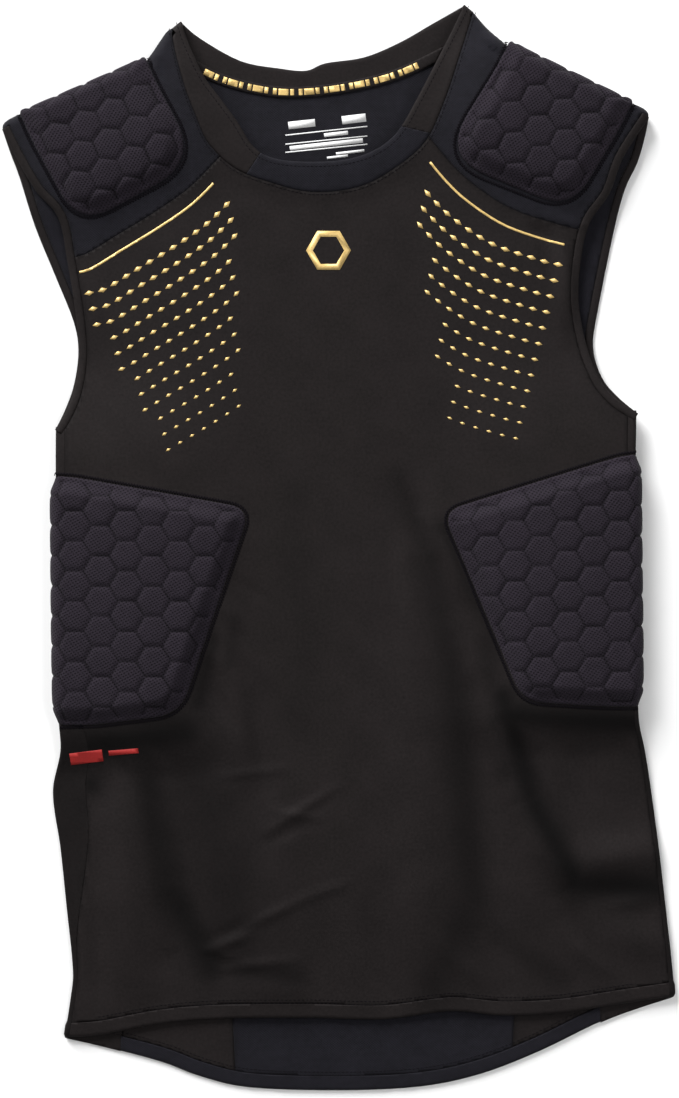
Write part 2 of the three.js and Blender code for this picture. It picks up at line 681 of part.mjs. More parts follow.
function stripWidth(side, y) {
  const rows = SIDE_STRIPS;
  if (y >= rows[0].y) return rows[0].right;
  const i = rows.findIndex((row) => y > row.y);
  if (i < 0) return rows[rows.length - 1][side];
  return THREE.MathUtils.mapLinear(y, rows[i - 1].y, rows[i].y, rows[i - 1][side], rows[i][side]);
}

// Levels shared by everything that follows a side fold
function levelsBetween(from, to) {
  return [from, ...sharedSteps(from, to, LEVEL_STEP).filter((y) => y > from + MARGIN && y < to - MARGIN), to];
}

function foldStrip(side, from, to, front, back) {
  const levels = levelsBetween(from, to);
  const place = (u, y) => surfaceFromPlan(u, sideSection(side, y, CLOTH, 0).outer);
  const outline = [
    ...levels.map((y) => new THREE.Vector2(place(front(y), y), y)),
    ...reversed(levels).map((y) => new THREE.Vector2(-place(back - SEAM_GAP, y), y)),
  ];
  const [s0, s1] = bounds(outline);
  const { reach, fine, front: frontStep, back: backStep } = STRIP_STEPS;
  const sLines = [
    ...steps(s0, -reach, backStep), ...steps(-reach, reach, fine).slice(1),
    ...steps(reach, s1, frontStep).slice(1),
  ];
  const rows = [from - 1, ...levels.slice(1, -1), to + 1];
  const flat = solidFrom(gridWall(sLines, rows, () => 0, () => CLOTH), true)
    .intersect(prism(grown(outline, -SEAM_GAP / 2)));
  return bentPiece(flat, sideBend(side, CLOTH, 0), side === 'right');
}

// The edge of a flat piece along a side, at a distance from the fold
function alongSide(side, from, to, distance) {
  const levels = from > to ? reversed(levelsBetween(to, from)) : levelsBetween(from, to);
  return levels.map((y) => new THREE.Vector2(foldX(side, y) + INWARD[side] * distance(y), y));
}

const bandRow = (t) => {
  const i = Math.min(NECKBAND.length - 2, Math.floor(t));
  const [a, b] = [NECKBAND[i], NECKBAND[i + 1]];
  const mix = (key) => THREE.MathUtils.lerp(a[key], b[key], t - i);
  return { inner: [mix('inX'), mix('inY')], outer: [mix('outX'), mix('outY')] };
};

function bandPart(from, to) {
  const rows = steps(from, to, 0.5).map(bandRow);
  return [...vectors(rows.map((row) => row.inner)), ...reversed(vectors(rows.map((row) => row.outer)))];
}

const above = (points, y) => points.filter((point) => point.y > y);
const below = (points, y) => points.filter((point) => point.y < y);
const between = (points, [low, high]) => points.filter((point) => point.x > low && point.x < high);

// Where the pieces' edges meet: levels and places on the shirt, and rows of the neckband
const SEAM_ENDS = {
  hemFront: [-183, 222], hemBack: [-67, 114], hemBackLeft: [-144, -72], hemBackRight: [118, 172],
  bodySide: { left: [76, -327], right: [-301, 84] },
  bodyArmhole: { left: 193, right: 211 }, yokeArmhole: { left: 196, right: 214 },
  backArmhole: 134, backSideArmhole: 130,
  backSideTop: { left: [74, 20], right: [20, 84] }, backSideLow: { left: [-60, -326], right: [-312, -60] },
  underarmTop: { left: 80, right: 91 },
  bodyNeck: [4.6, 10.4], yokeNeck: { left: 4, right: 11 },
};
const UNDERARM_LEVELS = [30, 100];
const GARMENT_SIDE = 260;       // outside the garment, for regions that cut
const GARMENT_TOP = 400;
const BELOW_HEM = -350;

// Outlines in plan
const lastRow = NECKBAND.length - 1;
const bandOutline = bandPart(0, lastRow);
const bandMiddle = (from, to) => steps(from, to, 1).map((t) => {
  const row = bandRow(t);
  return new THREE.Vector2((row.inner[0] + row.outer[0]) / 2, (row.inner[1] + row.outer[1]) / 2);
});
const bindings = {
  frontLeft: strip(edge('armholeFrontLeft'), -BINDING_WIDTH),
  backLeft: strip(edge('armholeBackLeft'), -BINDING_WIDTH),
  frontRight: strip(edge('armholeFrontRight'), BINDING_WIDTH),
  backRight: strip(edge('armholeBackRight'), BINDING_WIDTH),
};
const hems = {
  front: strip(edge('hemFront'), HEM_HEIGHT),
  back: strip(edge('hemBack'), HEM_HEIGHT),
};
const pads = {
  sideLeft: sidePad('left'),
  sideRight: sidePad('right'),
  shoulderLeft: shoulderPad('left'),
  shoulderRight: shoulderPad('right'),
};
const padFronts = Object.values(pads).map((item) => item.frontCutter);
const padBacks = Object.values(pads).map((item) => item.backCutter);

const yokeLine = { left: edge('yokeSeamLeft'), right: edge('yokeSeamRight') };
const frontOutline = [
  ...between(edge('hemFront'), SEAM_ENDS.hemFront),
  ...alongSide('right', ...SEAM_ENDS.bodySide.right, (y) => stripWidth('right', y)),
  ...below(edge('armholeFrontRight'), SEAM_ENDS.bodyArmhole.right),
  ...yokeLine.right,
  ...reversed(bandMiddle(...SEAM_ENDS.bodyNeck)),
  ...reversed(yokeLine.left),
  ...reversed(below(edge('armholeFrontLeft'), SEAM_ENDS.bodyArmhole.left)),
  ...alongSide('left', ...SEAM_ENDS.bodySide.left, (y) => stripWidth('left', y)),
];
const yokeOutlines = {
  left: [
    ...yokeLine.left, ...reversed(bandMiddle(0, SEAM_ENDS.yokeNeck.left)),
    ...reversed(edge('shoulderLeft')),
    ...reversed(above(edge('armholeFrontLeft'), SEAM_ENDS.yokeArmhole.left)),
  ],
  right: [
    ...above(edge('armholeFrontRight'), SEAM_ENDS.yokeArmhole.right), ...edge('shoulderRight'),
    ...reversed(bandMiddle(SEAM_ENDS.yokeNeck.right, lastRow)), ...reversed(yokeLine.right),
  ],
};
const seams = { left: edge('backSeamLeft'), right: edge('backSeamRight') };
const hemBack = edge('hemBack');
const backCenterOutline = [
  ...between(hemBack, SEAM_ENDS.hemBack),
  ...seams.right,
  ...above(edge('armholeBackRight'), SEAM_ENDS.backArmhole), ...edge('shoulderRight'),
  ...reversed(edge('collarSeam')),
  ...reversed(edge('shoulderLeft')),
  ...reversed(above(edge('armholeBackLeft'), SEAM_ENDS.backArmhole)),
  ...reversed(seams.left),
];
const backSideOutlines = {
  left: [
    ...seams.left, ...reversed(below(edge('armholeBackLeft'), SEAM_ENDS.backSideArmhole)),
    ...alongSide('left', ...SEAM_ENDS.backSideTop.left, () => UNDERARM_LEG),
    ...alongSide('left', ...SEAM_ENDS.backSideLow.left, () => SIDE_PANEL_BACK.left),
    ...between(hemBack, SEAM_ENDS.hemBackLeft),
  ],
  right: [
    ...between(hemBack, SEAM_ENDS.hemBackRight),
    ...alongSide('right', ...SEAM_ENDS.backSideLow.right, () => SIDE_PANEL_BACK.right),
    ...alongSide('right', ...SEAM_ENDS.backSideTop.right, () => UNDERARM_LEG),
    ...below(edge('armholeBackRight'), SEAM_ENDS.backSideArmhole), ...reversed(seams.right),
  ],
};
const collarOutline = [
  ...edge('collarTop'), ...reversed(edge('collarSeam')), ...edge('shoulderLeft').slice(-1),
];
const tapeOutline = strip(edge('tapeTop'), -TAPE_WIDTH);

// Region of the whole garment down to the hem of its back
const aboveHem = [
  ...hemBack,
  ...vectors([[GARMENT_SIDE, 0], [GARMENT_SIDE, GARMENT_TOP]]),
  ...vectors([[-GARMENT_SIDE, GARMENT_TOP], [-GARMENT_SIDE, 0]]),
];

const backUnder = (x, y) => backTop(x, y) - CLOTH;

function sidePanel(side) {
  const top = SIDE_PADS[side].bottom - SEAM_GAP / 2;
  return foldStrip(side, BELOW_HEM, top, (y) => stripWidth(side, y), SIDE_PANEL_BACK[side])
    .intersect(prism(aboveHem));
}

function underarm(side, cutters) {
  const [low, high] = [SIDE_PADS[side].top + SEAM_GAP / 2, SEAM_ENDS.underarmTop[side]];
  let solid = foldStrip(side, low, high, () => UNDERARM_LEG, UNDERARM_LEG);
  for (const cutter of cutters) solid = solid.subtract(prism(grown(cutter, SEAM_GAP)));
  return solid;
}

// Region outside an armhole
function armholeRegion(name, side) {
  const points = edge(name);
  const outside = -GARMENT_SIDE * INWARD[side];
  return [...points, ...vectors([[outside, points.at(-1).y], [outside, points[0].y]])];
}

const underarmLeftCutters = [
  bindings.frontLeft, bindings.backLeft, armholeRegion('armholeFrontLeft', 'left'),
];
const underarmRightCutters = [
  bindings.frontRight, bindings.backRight, armholeRegion('armholeFrontRight', 'right'),
];

// The region along a fold that another piece takes, from the fold's outside inwards
function sideRegion(side, from, to, distance) {
  return [...alongSide(side, from, to, distance), ...alongSide(side, to, from, () => OUTSIDE)];
}

const SIDES = Object.keys(INWARD);
const sideStripCutters = SIDES.map((side) => (
  sideRegion(side, BELOW_HEM, SIDE_PADS[side].bottom, (y) => stripWidth(side, y))));
const sideBackCutters = SIDES.map((side) => (
  sideRegion(side, BELOW_HEM, SIDE_PADS[side].bottom, () => SIDE_PANEL_BACK[side])));
const underarmCutters = SIDES.map((side) => (
  sideRegion(side, ...UNDERARM_LEVELS, () => UNDERARM_LEG)));
const [bandStart, bandEnd] = BAND_SPLITS;

const frontCutters = [
  ...padFronts, bandOutline, bindings.frontLeft, bindings.frontRight, hems.front,
  ...sideStripCutters, ...underarmCutters,
];
const backCutters = [
  ...padBacks, bindings.backLeft, bindings.backRight, hems.back, ...sideBackCutters, ...underarmCutters,
];

const pieces = {
  front_body: ['satin', laidPiece(frontOutline, frontUnder, CLOTH, frontCutters)],
  front_yoke_left: ['mesh', laidPiece(yokeOutlines.left, frontUnder, CLOTH, frontCutters)],
  front_yoke_right: ['mesh', laidPiece(yokeOutlines.right, frontUnder, CLOTH, frontCutters)],
  neckband_left: ['satin', laidPiece(bandPart(0, bandStart), frontUnder, BAND_WALL)],
  neckband_front: ['mesh', laidPiece(bandPart(bandStart, bandEnd), frontUnder, BAND_WALL)],
  neckband_right: ['satin', laidPiece(bandPart(bandEnd, lastRow), frontUnder, BAND_WALL)],
  back_center: ['mesh', laidPiece(backCenterOutline, backUnder, CLOTH, backCutters)],
  back_side_left: ['satin', laidPiece(backSideOutlines.left, backUnder, CLOTH, backCutters)],
  back_side_right: ['satin', laidPiece(backSideOutlines.right, backUnder, CLOTH, backCutters)],
  back_collar: ['satin', laidPiece(collarOutline, backUnder, BAND_WALL)],
  neck_tape: ['tape', laidPiece(
    tapeOutline, (x, y) => backUnder(x, y) + BAND_WALL + SEAM_GAP, TAPE_WALL, [bandOutline],
  )],
  side_panel_left: ['satin', sidePanel('left')],
  side_panel_right: ['satin', sidePanel('right')],
  underarm_left: ['satin', underarm('left', underarmLeftCutters)],
  underarm_right: ['satin', underarm('right', underarmRightCutters)],
  side_pad_left: ['pad', pads.sideLeft.solid],
  side_pad_right: ['pad', pads.sideRight.solid],
  shoulder_pad_left: ['pad', pads.shoulderLeft.solid],
  shoulder_pad_right: ['pad', pads.shoulderRight.solid],
  binding_front_left: ['satin', laidPiece(bindings.frontLeft, frontUnder, BINDING_WALL, padFronts)],
  binding_front_right: ['satin', laidPiece(bindings.frontRight, frontUnder, BINDING_WALL, padFronts)],
  binding_back_left: ['satin', laidPiece(bindings.backLeft, backUnder, BINDING_WALL, padBacks)],
  binding_back_right: ['satin', laidPiece(bindings.backRight, backUnder, BINDING_WALL, padBacks)],
  hem_front: ['satin', laidPiece(hems.front, frontUnder, HEM_WALL, sideStripCutters)],
  hem_back: ['mesh', laidPiece(hems.back, backUnder, HEM_WALL, sideBackCutters)],
};

function largestBody(solid) {
  return solid.decompose().sort((a, b) => b.volume() - a.volume())[0];
}

function meshFrom(name, finish, solid) {
  const mesh = largestBody(solid).getMesh();
  const geometry = new THREE.BufferGeometry();
  geometry.setAttribute('position', new THREE.BufferAttribute(new Float32Array(mesh.vertProperties), 3));
  geometry.setIndex(new THREE.BufferAttribute(new Uint32Array(mesh.triVerts), 1));
  geometry.computeVertexNormals();
  const part = new THREE.Mesh(geometry, new THREE.MeshStandardMaterial({ metalness: 0, ...FINISH[finish] }));
  part.name = name;
  return part;
}

const shirt = new THREE.Group();
for (const [name, [finish, solid]] of Object.entries(pieces)) shirt.add(meshFrom(name, finish, solid));

// The origin is under the middle of the whole garment
const box = new THREE.Box3().setFromObject(shirt);
const middle = box.getCenter(new THREE.Vector3());
for (const part of shirt.children) part.position.set(-middle.x, -middle.y, -box.min.z);

export default shirt;
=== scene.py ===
"""Looks of a padded compression shirt that lies flat with its front up.

Pattern lengths are millimetres on the laid shirt: +X to the right, +Y to the shoulders
and +Z up from the surface that the back lies on.
"""

import math

import bmesh
import bpy
import numpy as np
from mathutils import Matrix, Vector


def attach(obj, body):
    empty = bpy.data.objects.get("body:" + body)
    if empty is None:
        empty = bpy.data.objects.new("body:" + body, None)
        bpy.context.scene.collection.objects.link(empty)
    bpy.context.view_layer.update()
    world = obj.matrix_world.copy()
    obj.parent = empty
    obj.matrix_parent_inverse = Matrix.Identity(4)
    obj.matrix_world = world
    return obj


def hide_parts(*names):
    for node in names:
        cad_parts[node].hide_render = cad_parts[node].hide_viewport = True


bl_info = {
    "name": "Padded compression shirt",
    "version": (1, 0, 0),
    "blender": (4, 5, 0),
    "location": "3D View > Sidebar > Shirt",
    "description": "Makes the cloth, quilted pads, seams and prints of a laid-out compression shirt",
    "category": "Object",
}

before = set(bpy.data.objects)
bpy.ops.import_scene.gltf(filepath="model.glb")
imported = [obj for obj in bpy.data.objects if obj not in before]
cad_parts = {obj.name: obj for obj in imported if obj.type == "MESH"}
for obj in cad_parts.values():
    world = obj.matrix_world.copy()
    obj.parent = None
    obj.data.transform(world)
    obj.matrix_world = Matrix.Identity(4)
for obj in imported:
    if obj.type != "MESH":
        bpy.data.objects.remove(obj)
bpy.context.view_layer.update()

MM = 0.001
ORIGIN_SHIFT = np.array([0.162, 0.950])     # from the pattern's centre to the frame's origin

# Walls and gaps, as in the solids
CLOTH = 1.2
SEAM_GAP = 0.03                 # sewn edges lie closer here than the solids may
PAD_TUCK = 1.6                  # how far the cloth goes under a pad's rim
HEM_HEIGHT = 9.5
HEM_WALL = 2.0
BINDING_WIDTH = 5.5
BINDING_WALL = 1.7
BAND_WALL = 1.6
TAPE_WALL = 0.8
TAPE_WIDTH = 7.5
LAYER_GAP = 0.9
FRONT_REST = 2.5
NECK_RISE = 2.4
NECK_REACH = 32
LOOSE_RISE = 5.6
LOOSE = {"low": -330, "high": -200, "middle": 15, "inner": 90, "outer": 205}
NECK_FREE = (315, 352)
NECK_EDGE_WIDTH = 4
PAD_CLEARANCE = 2
PAD_STIFFNESS = 0.8
FOLD_ENDS = 0.35

HEX_SIDE = 11.6
HEX_CROWN = 1.3
HEX_VARIATION = 0.20            # share of a crown's height that differs between hexagons
HEX_BULGE = 0.45                # how far a hexagon's corners lie below its middle
CHANNEL_VARIATION = 0.25
CHANNEL_ROUNDING = 2.4          # how steeply a hexagon rises out of its channel
PAD_BORDER = 2.4
PAD_BORDER_START = 1.5          # distance from the edge where the quilting begins
PAD_BORDER_WIDTH = 4.0
PAD_EDGE = 0.9                  # thickness at the very edge, under the seam
PAD_EDGE_RISE = 1.7
PAD_EDGE_RADIUS = 1.8
PAD_SLOPE_START = 0.4
PAD_SLOPE = 13.0
PAD_PUFF = 0.2                  # how far the foam stands over its wall
PLAIN_LEG = (9, 3)              # from under the fold to the leg that rests, where the quilting ends
BACK_CORNER = 12
SIDE_PAD = {"wall": 8.2, "proud": 4.0, "back_reach": 52}
SHOULDER_PAD = {"wall": 7.0, "proud": 0.0, "back_reach": 55}
SIDE_SLOPE = {"front": (36, 118), "back": (54, 52), "below": (36, 3), "above": (4, 84)}
SHOULDER_SLOPE = {"front": (40, 70), "back": (57, 44), "before": (32, 3), "after": (3, 34)}

# Fold lines down the two sides, one column for each level
SIDE_FOLDS = {
    "y": [110, 58, -60, -115, -136, -164, -202, -240, -286, -302, -331],
    "left": [-189.5, -189.5, -188.5, -187.5, -186.5, -192.0, -187.0, -183.0, -178.5, -180.0, -184.5],
    "right": [199.5, 198.5, 199.5, 200.5, 205.0, 209.5, 214.5, 219.0, 224.0, 225.0, 226.0],
}

# Side pads: top and bottom at the fold, then corners as distance in, level and radius
SIDE_PADS = {
    "left": {
        "top": 47, "bottom": -119.5,
        "corners": [(14, 47, 8), (134.5, 25.5, 15), (86, -112, 17), (26, -119.5, 10)],
    },
    "right": {
        "top": 61.5, "bottom": -107,
        "corners": [(12, 61.5, 8), (134, 23.5, 14), (81.5, -103.5, 14), (26, -107, 10)],
    },
}

# Shoulder pads: ends of the fold, then corners as distance away from it, along it and radius
SHOULDER_PADS = {
    "left": {
        "outer": (-214, 291), "inner": (-133, 326), "length": (0, 92),
        "corners": [(20, 0, 6), (86, 6, 24), (80, 97, 32), (20, 92, 6)],
    },
    "right": {
        "outer": (197, 298), "inner": (118, 336), "length": (0, 92),
        "corners": [(20, 0, 6), (85, 6, 24), (92, 100, 34), (20, 92, 6)],
    },
}

# Sections across the neckband: inner x and y, outer x and y
NECKBAND = [
    (-106, 352, -112, 347), (-100, 335, -110, 333), (-90, 314, -103, 307), (-79, 299, -95, 286),
    (-68, 284, -87, 269), (-57, 267, -70, 253), (-44, 259.5, -48, 244), (-22, 257, -19, 237),
    (4, 258.5, 12, 240), (24, 265, 36, 252), (39, 277, 58, 271), (52, 299, 71, 299),
    (67, 328, 80, 326), (78, 350, 86, 345), (84, 363, 90, 358),
]
BAND_SPLITS = (5.4, 10.2)

# Edges and seams, each a smooth curve through its points
EDGES = {
    "armhole_front_left": [
        (-190, 78), (-184, 88), (-178, 103), (-174.5, 126), (-176, 152),
        (-182, 190), (-188, 220), (-203, 238), (-216, 260), (-225.5, 279),
    ],
    "armhole_back_left": [
        (-190, 78), (-183, 93), (-177.5, 110), (-175, 132), (-178.5, 152),
        (-191, 183), (-204, 215), (-214, 247), (-220, 263), (-225.5, 279),
    ],
    "armhole_front_right": [
        (200, 89), (186, 98), (175, 111), (166, 134), (160.5, 165),
        (162.5, 195), (168, 217), (181, 236), (190, 260), (207.5, 287),
    ],
    "armhole_back_right": [
        (200, 89), (186, 101), (176, 114), (170.5, 134), (174, 160),
        (185, 214), (192, 240), (200, 257), (205, 274), (207.5, 287),
    ],
    "shoulder_left": [
        (-225.5, 279), (-221, 286), (-187, 300), (-153, 315), (-133, 322),
        (-126, 329), (-116, 344), (-112, 347),
    ],
    "shoulder_right": [
        (207.5, 287), (203.5, 293.5), (175, 304.5), (148, 317), (120, 330),
        (109, 338), (99, 347), (90, 358),
    ],
    "yoke_seam_left": [(-184, 193.5), (-170, 196), (-148, 209), (-123, 224), (-100, 240), (-80, 260)],
    "yoke_seam_right": [(163, 211.5), (145, 216), (115, 226), (90, 242), (74, 257), (60, 274)],
    "hem_front": [
        (-187, -329), (-160, -327.5), (-120, -320), (-76, -316.5), (-20, -316), (30, -317),
        (74, -311.5), (110, -314.5), (150, -312.5), (190, -306.5), (228, -301),
    ],
    "hem_back": [
        (-187, -329), (-160, -335), (-120, -345.5), (-93, -355.5), (-60, -363), (0, -365),
        (54, -362.5), (95, -354), (135, -338.5), (180, -317), (228, -301),
    ],
    "collar_top": [
        (-106, 352), (-93, 341), (-66, 326), (-40, 321), (-22, 319.5),
        (-9, 324.5), (17, 328.5), (41, 338.5), (62, 350.5), (84, 363),
    ],
    "tape_top": [(-97, 327), (-80, 318), (-55, 311), (-30, 308.5), (4, 312), (38, 320.5), (72, 336.5)],
    "collar_seam": [
        (-110, 334), (-90, 317.5), (-58, 307), (-30, 304.5), (4, 307.5), (38, 316), (80, 341),
    ],
    "back_seam_left": [(-69, -364), (-73, -300), (-88, -150), (-100, -20), (-130, 80), (-175.5, 131)],
    "back_seam_right": [(116, -348), (118, -300), (122, -150), (126, -20), (138, 70), (170.5, 133)],
}

# Front strip of the side panels, from the fold to the seam
SIDE_STRIPS = {
    "y": [-118, -150, -183, -225, -262, -290],
    "left": [15.5, 21, 22, 13.5, 5, 3.2],
    "right": [3.2, 3.2, 3.2, 3.2, 3.2, 3.2],
}
SIDE_PANEL_BACK = {"left": 38.0, "right": 50.0}
NARROW_STRIP = 3.2
STRIP_SHADE = 0.45
CORNER_LEVEL = {"left": -329, "right": -301}     # where the front and the back hem meet at a fold
UNDERARM_LEG = 6
UNDERARM_LEVELS = (30, 100)
UNDERARM_TOP = {"left": 80, "right": 91}
INWARD = {"left": 1, "right": -1}

# Soft folds of the front: a line, half a width, and a height up or down
FOLDS = [
    (46, -10, 62, -292, 20, 3.4), (84, -2, 108, -292, 17, -4.4), (60, 18, 94, -56, 8, 3.0),
    (38, 60, 60, -40, 13, -2.2), (96, -110, 120, -172, 11, 4.4), (120, -172, 150, -232, 12, 4.6),
    (112, -122, 138, -180, 9, -2.8), (156, -211, 222, -203, 14, 5.0), (140, -140, 176, -196, 12, -2.4),
    (172, -256, 222, -270, 13, 2.2), (-144, -150, -138, -296, 15, 4.6),
    (-112, -160, -94, -294, 20, -4.2), (-112, -276, -62, -284, 10, -1.6),
    (-34, -165, -46, -304, 17, 2.4), (-90, -60, -80, -150, 9, -3.2), (-76, -46, -62, -156, 9, 3.2),
    (135, 208, 166, 104, 9, -2.4), (148, 206, 152, 140, 7, 3.4), (-172, 118, -150, 62, 10, -1.3),
]

# Finer creases that the solids leave out
CREASES = [
    (-108, -275, -66, -281, 3.2, -1.3), (-112, -268, -70, -275, 4.0, 1.0),
    (-118, -150, -104, -236, 6.0, 1.3), (-130, -146, -118, -206, 6.0, -1.1), (-92, -64, -74, -86, 4.5, 1.3),
    (-86, -92, -70, -120, 5.0, -1.4), (-84, -30, -66, -56, 4.0, 1.1), (-76, -18, -48, -36, 4.0, -0.7),
    (-70, -62, -44, -92, 5.0, 1.0), (-58, -104, -48, -160, 6.0, -1.0), (70, 2, 88, -36, 3.5, 1.4),
    (62, 8, 82, -44, 3.5, -1.4), (78, -56, 98, -96, 5.0, 1.3), (92, -92, 106, -134, 4.5, -1.3),
    (40, 40, 54, -70, 7.0, 0.8), (34, 10, 40, -90, 6.0, -0.7), (128, -138, 150, -176, 5.0, 1.4),
    (146, -146, 166, -192, 5.0, 1.3), (156, -136, 172, -170, 4.0, -1.3), (136, -214, 160, -262, 5.0, -1.1),
    (176, -241, 214, -236, 5.0, 1.0), (150, -262, 186, -290, 6.0, 1.1), (194, -128, 210, -152, 5.0, 1.5),
    (196, -150, 214, -196, 5.0, -1.0), (-168, -128, -148, -156, 5.5, 1.4),
    (-160, -130, -132, -166, 5.0, -1.3), (-140, -128, -112, -150, 4.5, 1.1),
    (-178, -205, -170, -290, 5.0, 1.1), (-164, -200, -160, -300, 5.0, -1.0),
    (-132, -190, -118, -268, 6.0, 1.1), (-60, -296, -20, -300, 7.0, 1.0), (70, -268, 100, -296, 7.0, 1.1),
    (150, 200, 156, 158, 4.0, 1.3), (158, 196, 160, 150, 4.0, -1.3), (128, 200, 150, 140, 5.0, 1.0),
    (152, 138, 168, 96, 5.0, 1.1), (-164, 110, -146, 70, 5.0, 1.1), (-156, 150, -140, 110, 6.0, -0.8),
    (-150, 92, -120, 62, 6.0, 0.7), (-127, 331, -118, 318, 2.6, 1.4), (-122, 328, -113, 312, 2.4, -1.3),
    (103, 344, 112, 330, 2.6, 1.4), (99, 340, 106, 326, 2.4, -1.3), (-20, -230, -28, -310, 9.0, 1.1),
    (24, -210, 34, -305, 10.0, -1.1), (48, -220, 58, -300, 8.0, 1.1), (128, 214, 146, 204, 3.4, -1.1),
    (136, 222, 168, 214, 3.0, 1.1), (-88, -271, -60, -260, 3.0, 1.4), (-64, -255, -24, -236, 3.4, 1.4),
    (-26, -236, 6, -225, 3.4, 1.0), (-48, -190, -2, -161, 3.2, 1.3), (-82, -154, -36, -149, 3.2, 1.0),
    (-98, -285, -30, -277, 3.2, 1.2), (-43, -177, -12, -182, 3.0, 1.1), (-84, -262, -56, -250, 4.0, -1.1),
    (-52, -200, -20, -184, 4.0, -0.9), (81, -69, 111, -143, 5.0, 1.6), (134, -122, 148, -158, 5.0, 1.6),
    (88, -62, 101, -90, 4.0, 1.3),
]

# Painted shade on the front's cloth, in zones where it takes less light: a line, half a width, and how much
# from 0 to 1
PAINTED_SHADE_ZONES = [
    (-189, -137, -104, -123, 13, 0.95), (-189, -158, -166, -160, 9, 0.8), (-127, -160, -112, -232, 13, 0.7),
    (-112, -232, -86, -280, 13, 0.85), (-84, -280, -30, -288, 8, 0.55), (-92, -150, -72, -262, 26, 0.42),
    (-84, -62, -95, -106, 6, 0.6), (-70, -50, -74, -78, 6, 0.45), (112, -112, 206, -118, 10, 0.95),
    (109, -100, 131, -172, 9, 0.9), (131, -172, 158, -224, 10, 0.95), (158, -226, 216, -229, 11, 0.95),
    (40, 46, 60, -8, 7, 0.4), (60, -8, 78, -92, 10, 0.5), (78, -92, 90, -236, 13, 0.55),
    (90, -236, 64, -292, 14, 0.5), (70, 12, 108, -66, 7, 0.6), (98, -66, 112, -150, 8, 0.45),
    (108, -262, 148, -290, 9, 0.35), (-30, 30, -24, -120, 12, 0.2),
]

# Where the pieces' edges meet: levels and places on the shirt, and rows of the neckband
SEAM_ENDS = {
    "hem_front": (-183, 222), "hem_back": (-67, 114),
    "hem_back_left": (-144, -72), "hem_back_right": (118, 172),
    "body_side": {"left": (76, -327), "right": (-301, 84)},
    "body_armhole": {"left": 193, "right": 211}, "yoke_armhole": {"left": 196, "right": 214},
    "back_armhole": 134, "back_side_armhole": 130,
    "back_side_top": {"left": (74, 20), "right": (20, 84)},
    "back_side_low": {"left": (-60, -334), "right": (-312, -60)},
    "body_neck": (4.6, 10.4), "yoke_neck": {"left": 4, "right": 11},
}

OUTSIDE = -16                   # past a fold, where a cutter ends
BELOW_HEM = -350
END_REACH = 13                  # where a pad's end comes out to the cloth beside it at the fold
END_BORDER = 2                  # from a pad's end, before that begins to fade
LEG_BLEND = 10                  # past a fold, where a leg comes down to its layer
BLANK_LEVELS = (0, 10)          # a flat blank and the cutters that go through it
CUTTER_LEVELS = (-5, 15)
LEAST_EDGE = 0.25
TRIM_ROUNDING = 1.5             # width of the rounded rim of a trim
UNDER_ROUNDING = 0.6            # its lower rim rises by this share of what the upper one falls
SEAM_SHADE = 0.5
SEAM_SHADE_WIDTH = 2.4
HEM_TURN = (-0.8, 0.2)          # from the top of a hem, where the cloth becomes double
HEM_ROUNDING = 1.2
HEM_EDGE = 0.35                 # share of the wall that is left at the lowest edge
ROLL_REACH = 2.2                # how far cloth rolls round a shoulder, as a share of its radius
ROLL_SPARE = 0.5
FOLD_CELL = (1.0, 3.0)
PRINT_HEIGHT = 0.14
PRINT_GAP = 0.03
PRINT_CELL = 3.0
CORNER_STEPS = 8
SPAN_STEPS = 5


class ShirtSizes(bpy.types.PropertyGroup):
    """Sizes of the finish that a user may change"""

    cloth_cell: bpy.props.FloatProperty(
        name="Cloth cell", description="Spacing of the mesh lines on the panels",
        default=0.0024, min=0.002, max=0.02, unit="LENGTH", subtype="DISTANCE")
    trim_cell: bpy.props.FloatProperty(
        name="Trim cell", description="Spacing of the mesh lines on hems, bindings and neckband",
        default=0.0014, min=0.0008, max=0.01, unit="LENGTH", subtype="DISTANCE")
    pad_cell: bpy.props.FloatProperty(
        name="Pad cell", description="Spacing of the mesh lines on the quilted pads",
        default=0.0012, min=0.0008, max=0.01, unit="LENGTH", subtype="DISTANCE")
    channel_width: bpy.props.FloatProperty(
        name="Channel width", description="Width of the rounded rim beside a quilting channel",
        default=0.0038, min=0.001, max=0.008, unit="LENGTH", subtype="DISTANCE")
    stitch_pitch: bpy.props.FloatProperty(
        name="Stitch pitch", description="Distance between the stitches of a topstitched row",
        default=0.0028, min=0.0015, max=0.006, unit="LENGTH", subtype="DISTANCE")


class ShirtColours(bpy.types.PropertyGroup):
    """Colours of the cloths and prints"""

    satin: bpy.props.FloatVectorProperty(
        name="Satin", description="Smooth warp knit of the body", size=3,
        default=(0.0108, 0.0088, 0.0088), min=0, max=1, subtype="COLOR")
    mesh: bpy.props.FloatVectorProperty(
        name="Mesh", description="Fine mesh knit of the yokes and the back", size=3,
        default=(0.0084, 0.0080, 0.0112), min=0, max=1, subtype="COLOR")
    pad: bpy.props.FloatVectorProperty(
        name="Pad knit", description="Pinhole knit over the foam", size=3,
        default=(0.0160, 0.0126, 0.0178), min=0, max=1, subtype="COLOR")
    thread: bpy.props.FloatVectorProperty(
        name="Thread", description="Sewing thread", size=3,
        default=(0.0034, 0.0026, 0.0040), min=0, max=1, subtype="COLOR")
    gold: bpy.props.FloatVectorProperty(
        name="Gold print", description="Foil print on the chest and the neck tape", size=3,
        default=(0.66, 0.46, 0.17), min=0, max=1, subtype="COLOR")
    white: bpy.props.FloatVectorProperty(
        name="White print", description="Print inside the back", size=3,
        default=(0.72, 0.72, 0.72), min=0, max=1, subtype="COLOR")
    red: bpy.props.FloatVectorProperty(
        name="Red print", description="Small bars on the left side", size=3,
        default=(0.27, 0.0075, 0.006), min=0, max=1, subtype="COLOR")


